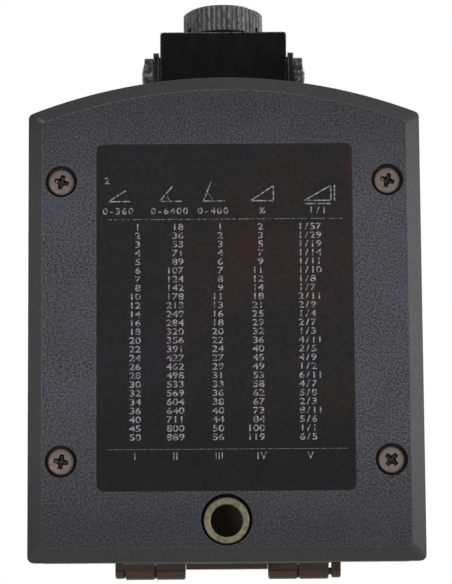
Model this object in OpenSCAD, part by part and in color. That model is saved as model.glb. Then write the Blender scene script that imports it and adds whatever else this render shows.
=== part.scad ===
// Marching compass with a folding lid, a turning bezel, a floating card and a flip-up eyepiece.
// Lengths are in millimetres. The origin is the foot of the card's axis on the back of the case:
// +Z points up through the dial, +Y towards the lid hinge and -Y towards the eyepiece.

/* [Case] */
// Width of the case
case_w = 65; // [64:0.5:74]
// Length of the case from the hinge end to the crown of the eyepiece end
case_l = 80.4; // [79:0.2:92]
// Rise of the curved eyepiece end
crown_rise = 6.2; // [4:0.1:8]
// Radius of the corners in plan
corner_r = 1; // [0.6:0.1:2]
// Thickness of the bottom cover
cover_t = 4; // [3.4:0.1:6]
// Width of the bevel around the back
bevel_w = 2.35; // [1:0.05:2.8]
// Depth of the bevel around the back
bevel_d = 1.3; // [0.6:0.1:2]
// Thickness of the cover's gasket
gasket_t = 0.5; // [0.3:0.1:1]
// Width of the cover's gasket
gasket_w = 2; // [1.2:0.1:2.2]
// Thickness of the case's floor under the capsule
floor_t = 1.5; // [1.2:0.1:3]
// Step from the cover's edge in to the body and lid
body_step = 0.3; // [0.1:0.1:0.8]
// Bevel along the upper edges of the body
body_bevel = 0.5; // [0.3:0.1:1]
// Depth of the deck around the bezel below the case's rim
deck_drop = 2; // [1:0.1:2.6]

/* [Cover screws] */
// Distance between screws across the case
screw_pitch_x = 54; // [52:0.5:55]
// Distance between screws along the case
screw_pitch_y = 46.3; // [44:0.5:52]
// Shift of the four screws towards the hinge
screw_shift = 0.6; // [0:0.1:2]
// Diameter of the screw heads
head_d = 4.45; // [3.8:0.05:4.8]
// Thickness of the screw heads
head_t = 1.2; // [0.9:0.1:1.5]
// Depth of the heads below the cover's face
head_sink = 0.7; // [0.4:0.1:1]
// Gap around each head in its counterbore
head_gap = 0.45; // [0.2:0.05:0.7]
// Diameter of the screw shanks
shank_d = 2; // [1.6:0.1:2.4]
// Length of the screws in the body
screw_grip = 6.5; // [4:0.5:8]

/* [Table plate] */
// Width of the table plate
label_w = 42.3; // [36:0.5:46]
// Length of the table plate
label_l = 57.4; // [50:0.2:57.8]
// Thickness of the table plate
label_t = 0.6; // [0.4:0.1:1]
// Corner radius of the table plate
label_r = 1.2; // [0.5:0.1:3]

/* [Tripod socket] */
// Outer diameter of the threaded bush
bush_d = 7.6; // [7:0.1:7.6]
// Bore of the threaded bush
bush_bore = 5.28; // [4.8:0.02:5.6]
// Depth of the bush's bore
bush_depth = 8.3; // [7:0.1:9]
// Thickness of the bush's closed end
bush_end = 1; // [0.6:0.1:1.5]
// Depth of the bush's mouth below the cover's face
bush_sink = 0.3; // [0.2:0.1:0.8]
// Gap around the bush in the cover
bush_gap = 0.4; // [0.3:0.05:0.5]
// Distance from the hinge end to the bush's centre
bush_inset = 6.7; // [6:0.1:6.8]

/* [Dial capsule] */
// Diameter of the compass card
card_d = 41; // [38:0.2:42.6]
// Thickness of the compass card
card_t = 0.4; // [0.3:0.1:0.8]
// Height of the card above the capsule's floor
card_rise = 4.4; // [4:0.1:5.5]
// Gap around the card
card_gap = 0.4; // [0.3:0.1:0.8]
// Width of the fixed slope scale around the card
scale_w = 2.85; // [2:0.05:3.2]
// Thickness of the fixed slope scale
scale_t = 1; // [0.6:0.1:1.4]
// Room above the card for the slope pointer
swing_h = 2.1; // [2:0.1:3]
// Thickness of the capsule's floor
cup_floor = 1; // [0.8:0.1:2]
// Wall of the capsule at its mouth
cup_wall = 0.9; // [0.7:0.1:1.4]
// Width of the capsule's ledges
cup_ledge = 1; // [0.8:0.1:1.2]
// Thickness of the capsule's seal
seal_t = 0.5; // [0.3:0.1:1]
// Thickness of the capsule's glass
capsule_glass_t = 1; // [0.8:0.1:1.6]
// Thickness of the ring that clamps the glass
capsule_ring_t = 0.8; // [0.6:0.1:1.4]
// Diameter of the pin that the card turns on
post_d = 1.2; // [1:0.05:1.6]
// Diameter of the stud that the slope pointer hangs on
stud_d = 1.4; // [1.2:0.05:1.8]

/* [Bezel] */
// Height of the bezel above the deck
bezel_h = 3.9; // [3.6:0.1:4.6]
// Reach of the bezel's grip beyond its skirt
bezel_flange = 1.3; // [1.1:0.1:1.5]
// Thickness of the bezel's skirt
skirt_t = 1.12; // [1:0.02:1.3]
// Depth of the bezel's skirt below the deck
skirt_depth = 3; // [2.6:0.1:3.3]
// Thickness of the bezel's glass
bezel_glass_t = 1.2; // [0.8:0.1:1.4]
// Number of grip flutes around the bezel
bezel_flutes = 72; // [36:2:96]

/* [Lid] */
// Thickness of the lid over the dial
lid_plate_t = 3; // [2.4:0.1:4]
// Bevel along the lid's upper edges
lid_bevel = 1.2; // [0.6:0.1:2]
// Width of the sighting slot
slot_w = 3.4; // [2.4:0.1:3.8]
// Length of the sighting slot
slot_l = 40; // [30:1:42]
// Diameter of the sighting wire
wire_d = 0.3; // [0.2:0.05:0.6]
// Diameter of the luminous dots
dot_d = 1.6; // [1:0.1:2]

/* [Hinge] */
// Diameter of the knuckles
knuckle_d = 2.6; // [2.4:0.1:3]
// Diameter of the hinge pins
pin_d = 1.2; // [0.8:0.1:1.4]
// Distance from the middle to the lid's knuckles
knuckle_x = 7; // [5:0.1:8]
// Length of each knuckle
knuckle_l = 5.1; // [4:0.1:6]
// Thickness of the hinge leaves
leaf_t = 1.2; // [0.8:0.1:1.25]
// Height of the case's leaf below the hinge line
case_leaf_h = 8.6; // [7:0.1:10]
// Length of the pin heads
pin_head_l = 1.6; // [1:0.1:2]
// Distance that the right-hand pin has worked out
pin_out = 0.4; // [0:0.1:0.8]

/* [Eyepiece] */
// Half the width of the eyepiece block
block_half_w = 11; // [9.5:0.1:11.4]
// Thickness of the bracket's side plates
arm_t = 0.95; // [0.8:0.05:1.2]
// Thickness of the case's lugs
lug_t = 1.4; // [1.2:0.1:2]
// Radius of the lugs' ends
lug_r = 3.2; // [2.8:0.1:3.4]
// Distance of the pivot beyond the crown of the case
pivot_out = 3.8; // [3.6:0.1:5]
// Height of the pivot above the deck
pivot_up = 0.6; // [0.4:0.1:1]
// Diameter of the pivot screws
pivot_d = 2.4; // [2:0.1:2.6]
// Upward tilt of the line of sight
sight_tilt = 3; // [0:0.5:4]
// Distance from the pivot to the outer face of the block
block_out = 8.2; // [7:0.05:9]
// Diameter of the focus ring
ring_d = 14; // [13:0.1:15]
// Length of the focus ring
ring_l = 4.7; // [4.4:0.1:6]
// Gap between the block and the focus ring
ring_gap = 0.75; // [0.3:0.05:0.9]
// Number of flutes around the focus ring
ring_flutes = 48; // [24:2:60]
// Outer diameter of the block's neck
neck_d = 10.4; // [10:0.1:11]
// Outer diameter of the sliding lens cell
cell_d = 8.6; // [8:0.1:8.8]
// Diameter of the lens
lens_d = 7; // [6:0.1:7.2]
// Height of the prism
prism_h = 5.6; // [5:0.1:5.8]

/* [Hidden] */
$fn = 96;
SMALL_FN = 48;

// Clearances: a seated piece, turning and sliding fits, room beside something that moves, and a fixed pin.
seat_gap = 0.05;
run_gap = 0.05;
bezel_run_gap = 0.08;
side_gap = 0.15;
free_gap = 0.3;
pin_seat = 0.01;
// Length by which a cutting shape runs past the face that it cuts.
cut = 1;
// Thickness of the slab that starts a bevel, which the bevel itself swallows.
skin = 0.01;

CROWN_STEPS = 28;
CORNER_STEPS = 4;

// Plan of the case.
half_w = case_w / 2;
half_l = case_l / 2;
crown_r = (half_w * half_w + crown_rise * crown_rise) / (2 * crown_rise);
end_wall_y = half_l - body_step;
bush_y = half_l - bush_inset;
bush_hole_off = 0.15;
bush_top = bush_sink + bush_depth + bush_end;
counterbore_d = head_d + 2 * head_gap;
cover_hole_d = shank_d + 0.5;
cross_share = 0.6;
slit_share = 0.16;
gasket_edge = 0.8;
// Turn of each cross recess, from the right-hand hinge corner round to the left-hand one.
screw_turns = [[1, 1, 43], [1, -1, 17], [-1, 1, 10], [-1, -1, 15]];

// Heights, from the back upwards.
body_z = cover_t + gasket_t;
cup_z = body_z + floor_t;
cup_top_floor = cup_z + cup_floor;
card_z = cup_top_floor + card_rise;
seal_z = card_z + card_t + swing_h;
capsule_glass_z = seal_z + seal_t;
capsule_ring_z = capsule_glass_z + capsule_glass_t;
cup_top = capsule_ring_z + capsule_ring_t;
deck_rise = 0.8;
deck_z = cup_top + deck_rise;
rim_z = deck_z + deck_drop;
bezel_z = deck_z + free_gap;
bezel_top = bezel_z + bezel_h;
lid_gap = 0.2;
lid_z = rim_z + lid_gap;
lid_room = 1;
lid_pocket_top = max(bezel_top + lid_room, lid_z + lid_room);
lid_top = lid_pocket_top + lid_plate_t;

// Radii of the capsule and bezel, from the card outwards.
card_r = card_d / 2;
scale_in_r = card_r + card_gap;
scale_out_r = scale_in_r + scale_w;
cup_mid_r = scale_out_r + seat_gap;
cup_low_r = cup_mid_r - cup_ledge;
glass_r = cup_mid_r + cup_ledge;
cup_high_r = glass_r + seat_gap;
cup_r = cup_high_r + cup_wall;
skirt_in_r = cup_r + free_gap;
skirt_r = skirt_in_r + skirt_t;
bezel_r = skirt_r + bezel_flange;
pocket_gap = 0.8;
pocket_r = bezel_r + pocket_gap;
bezel_bore_r = skirt_r + bezel_run_gap;
click_room = 0.4;
bezel_seat_z = deck_z - skirt_depth - click_room;
scale_sink = 0.2;
scale_z = card_z + card_t - scale_sink - scale_t;

// Snap ring that holds the bezel's skirt.
clip_t = 0.5;
clip_z = deck_z - skirt_depth / 2 - clip_t / 2;
clip_bite = 0.35;
clip_seat = 0.4;
clip_open = 20;
clip_groove = 0.2;

// Click spring under the skirt.
click_at = 60;
click_angle = 36;
click_leaf_t = 0.15;
click_nose_r = 0.28;
click_edge = 0.1;

// Card hub, magnet and jewel.
hub_r = 1.7;
hub_drop = 1.9;
hub_rise = 0.5;
jewel_r = 0.9;
jewel_t = 0.5;
jewel_seat = 0.1;
magnet_r = 4.6;
magnet_t = 1.3;
post_base_r = 2.6;
post_base_h = 1.1;
post_root = 0.9;
post_root_r = post_d / 2 + 0.3;
post_tip_gap = 0.15;
capsule_screw_r = 14;
capsule_screw_head_r = 1.2;
capsule_screw_head_t = 0.7;
capsule_screw_shank_r = 0.6;
capsule_screw_grip = 1;
capsule_screw_slit = 0.3;
capsule_ring_w = 1.4;

// Slope pointer, measured down from the capsule's glass.
pointer_bush_r = 1.6;
pointer_bush_h = 1;
pointer_bush_z = capsule_glass_z - 0.2 - pointer_bush_h;
stud_flange_t = 0.3;
stud_flange_r = stud_d / 2 + 0.6;
stud_head_t = 0.4;
stud_end_gap = 0.1;
pointer_t = 0.4;
pointer_z = pointer_bush_z + (pointer_bush_h - pointer_t) / 2;
pointer_tip = card_r - 0.8;
pointer_root_w = 1.8;
pointer_tip_w = 0.6;
pointer_hub_w = 1;
weight_r = card_r * 0.6;
weight_angle = 35;

// Bezel sections.
bezel_lip_h = 1.7;
bezel_glass_z = bezel_z + bezel_lip_h;
glass_ring_z = bezel_glass_z + bezel_glass_t;
glass_ring_t = 0.5;
bezel_glass_r = skirt_in_r - 1.5;
bezel_lip_w = 1;
bezel_lip_r = bezel_glass_r - bezel_lip_w;
bezel_slope_h = 1.2;
grip_h = bezel_h - bezel_slope_h;
flute_depth = 0.3;
bezel_top_w = 1.5;
index_r = 0.5;
index_depth = 0.4;

// Level, side rule and luminous dots in the case.
level_pos = [half_w - 8, -half_l + 11.7];
level_r = 3.6;
level_h = 4.2;
level_wall = 0.7;
level_floor = 0.6;
side_scale_l = 62;
side_scale_h = 5;
side_scale_t = 0.6;
side_scale_x = half_w - body_step - side_scale_t;
side_scale_z = body_z + 4;
index_dot_gap = 1.1;
index_dot_y = pocket_r + dot_d / 2 + index_dot_gap;
inlay_depth = 0.4;

// Hinge line, on the joint between the body and the lid.
hinge_y = end_wall_y + free_gap + knuckle_d / 2;
hinge_z = (rim_z + lid_z) / 2;
hinge_gap = 0.12;
lid_knuckle_end = knuckle_x + knuckle_l - hinge_gap / 2;
case_knuckle_x = knuckle_x + knuckle_l + hinge_gap / 2;
case_knuckle_end = case_knuckle_x + knuckle_l;
leaf_y = half_l - leaf_t;
leaf_notch = knuckle_d / 2 + free_gap + hinge_gap;
knuckle_edge = 0.25;
stop_h = 3.2;
stop_out = 0.9;
leaf_screw_r = 0.8;
leaf_head_r = 1.5;
leaf_head_t = leaf_head_r - leaf_screw_r;
leaf_screw_l = 4;
leaf_cross_w = 1.8;
leaf_cross_slit = 0.35;
leaf_cross_depth = 0.4;
case_leaf_screw = [case_knuckle_x + knuckle_l / 2, hinge_z - case_leaf_h * 0.65];
leaf_margin = 0.1;
lid_leaf_top = lid_top - lid_bevel - leaf_margin;
lid_leaf_screw = [knuckle_x + knuckle_l / 2, (hinge_z + leaf_notch + lid_leaf_top) / 2];
pin_head_r = 1.1;
pin_head_edge = 0.2;
pin_heel_h = 0.9;
pin_heel_drop = 0.15;
pin_start = 0.1;

// Eyepiece. Its pieces are drawn about the pivot, with y along the line of sight.
pivot_y = -half_l - pivot_out;
pivot_z = deck_z + pivot_up;
arm_gap = 0.15;
arm_x = block_half_w + arm_gap;
lug_x = arm_x + arm_t + side_gap;
lug_end_x = lug_x + lug_t;
pivot_head_r = 2.45;
pivot_head_t = 0.5;
pivot_slit = 0.5;
pivot_slit_z = 0.2;
lug_root = 4.2;
lug_drop = 0.2;
block_over_card = 1.3;
block_in = -pivot_y - card_r + block_over_card;
block_step_y = -pivot_y - pocket_r;
block_under_z = 0.5;
block_over_gap = 0.5;
block_over_z = bezel_top + block_over_gap - pivot_z + block_in * sin(sight_tilt);
optic_rise = 3;
optic_z = block_over_z + optic_rise;
inner_h = 8.2;
block_top_z = block_over_z + inner_h;
inner_half_w = 8;
block_edge_r = 0.5;
cap_t = 1.2;
cap_screw_r = 0.6;
cap_screw_head_r = 1.1;
cap_screw_head_t = 0.5;
cap_screw_l = 3;
cap_screw_inset = 1.8;
slit_w = 0.3;
slit_depth = 0.25;
neck_l = 3.45;
bore_d = cell_d + 2 * run_gap;
window_t = 0.7;
prism_room = 1.4;
chamber_room = 1;
window_ledge = 0.6;
prism_y = block_in - cap_t - prism_h - prism_room;
chamber_y = prism_y - chamber_room;
prism_z = block_over_z + window_t + seat_gap;
prism_half_w = 4.2;
arm_out = 3.85;
arm_in = 9;
arm_under_z = -2.6;
arm_hub_in = 2.9;
arm_corner_r = 1.2;
bridge_t = 0.8;
bridge_y = [1.5, arm_in];
sight_blade_h = 1.6;
sight_blade_w = 7;
sight_blade_t = 0.8;
sight_notch = 1.2;
arm_step = 0.1;
bracket_screw_x = 7;
bracket_screw_r = 0.8;
bracket_head_r = 1.5;
bracket_head_t = 0.7;
bracket_screw_l = 3;
bracket_slit_w = 0.4;
bracket_slit_depth = 0.35;
ring_flange_t = 1;
ring_mouth_d = 8;
groove_start = 1;
groove_w = 1.1;
groove_depth = 0.4;
focus_screw_r = 0.45;
focus_screw_sink = 0.6;
ring_flute_depth = 0.25;
ring_rim = 0.4;
cell_in = -2.55;
cell_out = 2.95;
cell_lip = 0.5;
lens_edge = 0.4;
lens_t = 1.6;
lens_bulge = 0.8;
lens_z = cell_out - cell_lip - lens_t;
lens_ring_t = 0.6;
lens_ring_gap = 0.25;

// Notch in the lid and channel in the rim, which leave room for the eyepiece.
notch_side = 0.7;
notch_end = 1.7;
notch_half_w = arm_x + arm_t + notch_side;
notch_end_y = pivot_y + block_in + notch_end;
notch_r = 2;
slot_mid_y = 8;
slot_y = [slot_mid_y - slot_l / 2, slot_mid_y + slot_l / 2];
wire_anchor = 1.5;
lid_dot_gap = 2.2;

// Rubber pads in the lid's rim, clear of the level and the luminous dot.
pad_pos = [half_w - 6, half_l - 7];
pad_r = 1.5;
pad_seat = 1;
pad_out = 0.12;

// Leaf spring under the eyepiece.
spring_t = 0.2;
spring_half_w = 3;
spring_y = [-half_l + 3.5, -bezel_r - 0.9];
spring_screw_y = spring_y[0] + 1.6;
spring_screw_l = 2;
spring_head_r = 1;
spring_head_t = 0.12;

function unit(v) = v / norm(v);

// Points of the arc that rounds the corner b between a and c.
function rounded_corner(a, b, c, r) =
    let (
        u = unit(a - b),
        v = unit(c - b),
        half = acos(u * v) / 2,
        centre = b + unit(u + v) * (r / sin(half)),
        start = b + u * (r / tan(half)) - centre,
        from = atan2(start.y, start.x),
        turn = (180 - 2 * half) * sign(cross(b - a, c - b))
    )
    [for (i = [0 : CORNER_STEPS]) let (t = from + turn * i / CORNER_STEPS) centre + r * [cos(t), sin(t)]];

// A closed outline whose corners are rounded by r.
function rounded(points, r) =
    let (n = len(points))
    [for (i = [0 : n - 1]) each rounded_corner(points[(i + n - 1) % n], points[i], points[(i + 1) % n], r)];

function box_points(x0, x1, y0, y1) = [[x1, y1], [x0, y1], [x0, y0], [x1, y0]];

// Plan of the case drawn in by inset: straight sides and hinge end, arched eyepiece end.
function case_points(inset) =
    let (
        hw = half_w - inset,
        r = crown_r - inset,
        half_angle = asin(hw / r),
        centre = [0, crown_r - half_l],
        crown = [for (i = [0 : CROWN_STEPS])
            let (t = -90 - half_angle + 2 * half_angle * i / CROWN_STEPS) centre + r * [cos(t), sin(t)]],
        outline = concat([[hw, half_l - inset], [-hw, half_l - inset]], crown),
        n = len(outline)
    )
    [for (i = [0 : n - 1])
        each (i < 3 || i == n - 1
            ? rounded_corner(outline[(i + n - 1) % n], outline[i], outline[(i + 1) % n], corner_r)
            : [outline[i]])];

// Outline of a round part with shallow flutes for grip.
function fluted_points(r, depth, count) =
    [for (i = [0 : count - 1], k = [0 : 3])
        let (t = 360 * (i + k / 4) / count, q = (k < 2) ? r : r - depth) q * [cos(t), sin(t)]];

module case_slab(z, h, inset = 0) {
    translate([0, 0, z]) linear_extrude(h) polygon(case_points(inset));
}

module both_sides() {
    children();
    mirror([1, 0, 0]) children();
}

module ring(r_out, r_in, z, h) {
    translate([0, 0, z]) difference() {
        cylinder(r = r_out, h = h);
        translate([0, 0, -cut]) cylinder(r = r_in, h = h + 2 * cut);
    }
}

module at_cover_screws() {
    for (s = screw_turns)
        translate([s[0] * screw_pitch_x / 2, screw_shift + s[1] * screw_pitch_y / 2, 0])
            rotate(s[2]) children();
}

module at_capsule_screws() {
    for (i = [0 : 2]) rotate(30 + 120 * i) translate([capsule_screw_r, 0, 0]) children();
}

// Draws a plan with its x along Y and its y along Z, and thickens it along X from x.
module side_on(x, t) {
    translate([x, 0, 0]) rotate([90, 0, 90]) linear_extrude(t) children();
}

// A cylinder along +X from x.
module rod_x(x, r, l) {
    translate([x, 0, 0]) rotate([0, 90, 0]) cylinder(r = r, h = l, $fn = SMALL_FN);
}

module at_hinge() {
    translate([0, hinge_y, hinge_z]) children();
}

module on_sight() {
    translate([0, pivot_y, pivot_z]) rotate([-sight_tilt, 0, 0]) children();
}

// Places a piece on the lens axis: z runs outwards from the outer face of the block.
module on_optics() {
    on_sight() translate([0, -block_out, optic_z]) rotate([90, 0, 0]) children();
}

// A cross recess of the given width and depth, sunk from z upwards.
module cross_recess(w, slit, z, depth) {
    for (a = [0, 90]) rotate(a) translate([-w / 2, -slit / 2, z - cut]) cube([w, slit, depth + cut]);
}

module bottom_cover() {
    color([0.27, 0.27, 0.29]) difference() {
        hull() {
            case_slab(0, skin, bevel_w);
            case_slab(bevel_d, cover_t - bevel_d);
        }
        translate([0, 0, -cut]) linear_extrude(cut + label_t) polygon(rounded(
            box_points(-label_w / 2 - seat_gap, label_w / 2 + seat_gap,
                -label_l / 2 - seat_gap, label_l / 2 + seat_gap), label_r));
        at_cover_screws() {
            translate([0, 0, -cut])
                cylinder(d = counterbore_d, h = cut + head_sink + head_t, $fn = SMALL_FN);
            cylinder(d = cover_hole_d, h = cover_t + cut, $fn = SMALL_FN);
        }
        translate([0, bush_y - bush_hole_off, -cut])
            cylinder(d = bush_d + 2 * bush_gap, h = cover_t + 2 * cut);
    }
}

module label_plate() {
    color([0.14, 0.13, 0.13]) linear_extrude(label_t)
        polygon(rounded(box_points(-label_w / 2, label_w / 2, -label_l / 2, label_l / 2), label_r));
}

module cover_screws() {
    color([0.5, 0.42, 0.4]) at_cover_screws() difference() {
        union() {
            translate([0, 0, head_sink]) cylinder(d = head_d, h = head_t, $fn = SMALL_FN);
            translate([0, 0, head_sink + head_t / 2])
                cylinder(d = shank_d, h = body_z + screw_grip - head_sink - head_t / 2, $fn = SMALL_FN);
        }
        cross_recess(head_d * cross_share, head_d * slit_share, head_sink, head_t * cross_share);
    }
}

module tripod_bush() {
    color([0.47, 0.42, 0.31]) translate([0, bush_y, bush_sink]) difference() {
        cylinder(d = bush_d, h = bush_depth + bush_end);
        translate([0, 0, -cut]) cylinder(d = bush_bore, h = bush_depth + cut);
    }
}

module cover_gasket() {
    color([0.08, 0.08, 0.08]) difference() {
        case_slab(cover_t, gasket_t, gasket_edge);
        case_slab(cover_t - cut, gasket_t + 2 * cut, gasket_edge + gasket_w);
        at_cover_screws() translate([0, 0, cover_t - cut])
            cylinder(d = cover_hole_d, h = gasket_t + 2 * cut, $fn = SMALL_FN);
    }
}

// Bores for a leaf's screws in the wall that the leaf lies on.
module leaf_screw_bores(at) {
    both_sides() translate([at.x, leaf_y + cut, at.y]) rotate([90, 0, 0])
        cylinder(r = leaf_screw_r + seat_gap, h = leaf_screw_l + seat_gap + cut, $fn = SMALL_FN);
}

// Ear on the end of the case that carries one pivot screw.
module eyepiece_lug() {
    root_y = -half_l + lug_root;
    side_on(lug_x, lug_t) difference() {
        union() {
            translate([pivot_y, pivot_z]) circle(r = lug_r);
            translate([pivot_y, pivot_z - lug_r])
                square([root_y - pivot_y, rim_z - lug_drop - pivot_z + lug_r]);
        }
        translate([pivot_y, pivot_z]) circle(d = pivot_d + 2 * pin_seat, $fn = SMALL_FN);
    }
}

module dial_bores() {
    translate([0, 0, deck_z]) cylinder(r = pocket_r, h = deck_drop + cut);
    translate([0, 0, bezel_seat_z]) cylinder(r = bezel_bore_r, h = rim_z - bezel_seat_z + cut);
    translate([0, 0, cup_z]) cylinder(r = cup_r + seat_gap, h = rim_z - cup_z + cut);
    translate([0, 0, clip_z - seat_gap])
        cylinder(r = bezel_bore_r + clip_seat + seat_gap, h = clip_t + 2 * seat_gap);
}

module case_body() {
    color([0.26, 0.26, 0.28]) difference() {
        union() {
            hull() {
                case_slab(body_z, rim_z - body_z - body_bevel, body_step);
                case_slab(body_z, rim_z - body_z, body_step + body_bevel);
            }
            both_sides() eyepiece_lug();
        }
        dial_bores();
        // Channel in the rim for the eyepiece, which runs into the round deck.
        translate([-notch_half_w, -half_l - cut, deck_z])
            cube([2 * notch_half_w, half_l + cut - card_r, deck_drop + cut]);
        at_cover_screws() translate([0, 0, body_z - cut])
            cylinder(d = shank_d + 2 * seat_gap, h = cut + screw_grip + seat_gap, $fn = SMALL_FN);
        translate([0, bush_y, body_z - cut])
            cylinder(d = bush_d + 2 * seat_gap, h = bush_top + seat_gap + cut - body_z);
        at_capsule_screws() translate([0, 0, cup_z - capsule_screw_grip])
            cylinder(r = capsule_screw_shank_r + seat_gap, h = capsule_screw_grip + cut, $fn = SMALL_FN);
        translate([level_pos.x, level_pos.y, rim_z - level_h])
            cylinder(r = level_r + seat_gap, h = level_h + cut);
        translate([side_scale_x, -side_scale_l / 2 - seat_gap, side_scale_z - seat_gap])
            cube([side_scale_t + cut, side_scale_l + 2 * seat_gap, side_scale_h + 2 * seat_gap]);
        translate([0, index_dot_y, rim_z - inlay_depth])
            cylinder(d = dot_d + 2 * seat_gap, h = inlay_depth + cut, $fn = SMALL_FN);
        at_hinge() mirror([0, 0, 1]) leaf_plate(case_knuckle_x, knuckle_l, case_leaf_h, seat_gap);
        leaf_screw_bores(case_leaf_screw);
        translate([0, spring_screw_y, deck_z - spring_screw_l])
            cylinder(r = cap_screw_r + seat_gap, h = spring_screw_l + cut, $fn = SMALL_FN);
    }
}

module side_scale() {
    color([0.7, 0.7, 0.7])
        translate([side_scale_x + seat_gap, -side_scale_l / 2, side_scale_z])
            cube([side_scale_t - seat_gap, side_scale_l, side_scale_h]);
}

module index_dots() {
    color([0.8, 0.95, 0.7]) translate([0, index_dot_y, rim_z - inlay_depth])
        cylinder(d = dot_d, h = inlay_depth, $fn = SMALL_FN);
}

module level_cup() {
    color([0.6, 0.5, 0.3]) translate([level_pos.x, level_pos.y, rim_z - level_h + seat_gap]) difference() {
        cylinder(r = level_r, h = level_h - seat_gap);
        translate([0, 0, level_floor]) cylinder(r = level_r - level_wall, h = level_h);
    }
}

module level_vial() {
    color([0.75, 0.85, 0.4, 0.6])
        translate([level_pos.x, level_pos.y, rim_z - level_h + 2 * seat_gap + level_floor])
            cylinder(r = level_r - level_wall - seat_gap, h = level_h - 2 * seat_gap - level_floor);
}

module capsule_cup() {
    color([0.3, 0.3, 0.32]) difference() {
        translate([0, 0, cup_z]) cylinder(r = cup_r, h = cup_top - cup_z);
        translate([0, 0, cup_top_floor]) cylinder(r = cup_low_r, h = cup_top);
        translate([0, 0, scale_z]) cylinder(r = cup_mid_r, h = cup_top);
        translate([0, 0, seal_z]) cylinder(r = cup_high_r, h = cup_top);
        translate([0, 0, cup_top_floor - post_root])
            cylinder(r = post_root_r + seat_gap, h = post_root + cut, $fn = SMALL_FN);
        at_capsule_screws() translate([0, 0, cup_z - cut])
            cylinder(r = capsule_screw_shank_r + seat_gap, h = cup_floor + 2 * cut, $fn = SMALL_FN);
    }
}

module capsule_screws() {
    color([0.6, 0.6, 0.6]) at_capsule_screws() difference() {
        union() {
            translate([0, 0, cup_top_floor]) cylinder(r = capsule_screw_head_r, h = capsule_screw_head_t);
            translate([0, 0, cup_z - capsule_screw_grip + seat_gap])
                cylinder(r = capsule_screw_shank_r, h = cup_floor + capsule_screw_grip, $fn = SMALL_FN);
        }
        translate([0, 0, 2 * cup_top_floor + capsule_screw_head_t]) mirror([0, 0, 1])
            cross_recess(capsule_screw_head_r, capsule_screw_slit, cup_top_floor, capsule_screw_head_t / 2);
    }
}

module pivot_post() {
    color([0.75, 0.75, 0.77]) translate([0, 0, cup_top_floor]) {
        cylinder(r = post_base_r, h = post_base_h, $fn = SMALL_FN);
        cylinder(d = post_d, h = card_rise + card_t - jewel_seat - post_tip_gap, $fn = SMALL_FN);
        translate([0, 0, -post_root + seat_gap])
            cylinder(r = post_root_r, h = post_root, $fn = SMALL_FN);
    }
}

module compass_card() {
    color([0.1, 0.1, 0.1]) difference() {
        union() {
            translate([0, 0, card_z]) cylinder(r = card_r, h = card_t);
            translate([0, 0, card_z - hub_drop])
                cylinder(r = hub_r, h = hub_drop + card_t + hub_rise, $fn = SMALL_FN);
        }
        translate([0, 0, card_z - hub_drop - cut])
            cylinder(r = post_d / 2 + run_gap, h = hub_drop + card_t + cut, $fn = SMALL_FN);
        translate([0, 0, card_z + card_t - jewel_seat])
            cylinder(r = jewel_r + seat_gap, h = hub_rise + cut, $fn = SMALL_FN);
    }
}

module card_magnet() {
    color([0.5, 0.5, 0.52]) ring(magnet_r, hub_r + seat_gap, card_z - magnet_t, magnet_t);
}

module card_jewel() {
    color([0.7, 0.2, 0.3]) translate([0, 0, card_z + card_t - jewel_seat])
        cylinder(r = jewel_r, h = jewel_t, $fn = SMALL_FN);
}

module clinometer_scale() {
    color([0.85, 0.85, 0.82]) ring(scale_out_r, scale_in_r, scale_z, scale_t);
}

module clinometer_stud() {
    stud_z = pointer_bush_z - stud_end_gap - stud_flange_t;
    color([0.6, 0.5, 0.3]) {
        translate([0, 0, stud_z]) cylinder(r = stud_flange_r, h = stud_flange_t, $fn = SMALL_FN);
        translate([0, 0, stud_z])
            cylinder(d = stud_d, h = capsule_ring_z + stud_head_t / 2 - stud_z, $fn = SMALL_FN);
        translate([0, 0, capsule_ring_z]) cylinder(r = stud_flange_r, h = stud_head_t, $fn = SMALL_FN);
    }
}

// Pointer that hangs straight down when the compass is held on edge.
module clinometer_pointer() {
    color([0.85, 0.3, 0.1]) translate([0, 0, pointer_z]) linear_extrude(pointer_t) difference() {
        union() {
            polygon([[-pointer_root_w / 2, 0], [pointer_root_w / 2, 0], [pointer_tip_w / 2, pointer_tip],
                [-pointer_tip_w / 2, pointer_tip]]);
            circle(r = pointer_bush_r + pointer_hub_w);
            intersection() {
                circle(r = weight_r);
                polygon([[0, 0], weight_r * [tan(weight_angle), 1], weight_r * [-tan(weight_angle), 1]]);
            }
        }
        circle(r = pointer_bush_r + seat_gap, $fn = SMALL_FN);
    }
}

module pointer_bush() {
    color([0.6, 0.5, 0.3])
        ring(pointer_bush_r, stud_d / 2 + run_gap, pointer_bush_z, pointer_bush_h, $fn = SMALL_FN);
}

module capsule_seal() {
    color([0.05, 0.05, 0.05]) ring(glass_r, cup_mid_r, seal_z, seal_t);
}

module capsule_glass() {
    color([0.8, 0.9, 0.9, 0.3]) ring(glass_r, stud_d / 2 + seat_gap / 2, capsule_glass_z, capsule_glass_t);
}

module capsule_ring() {
    color([0.2, 0.2, 0.2]) ring(glass_r, glass_r - capsule_ring_w, capsule_ring_z, capsule_ring_t);
}

module bezel_clip() {
    color([0.6, 0.6, 0.62]) difference() {
        ring(bezel_bore_r + clip_seat, skirt_r - clip_bite, clip_z, clip_t);
        rotate(-clip_open / 2) translate([0, 0, clip_z - cut]) rotate_extrude(angle = clip_open)
            translate([skirt_in_r - cut, 0]) square([bezel_r - skirt_in_r + cut, clip_t + 2 * cut]);
    }
}

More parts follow.
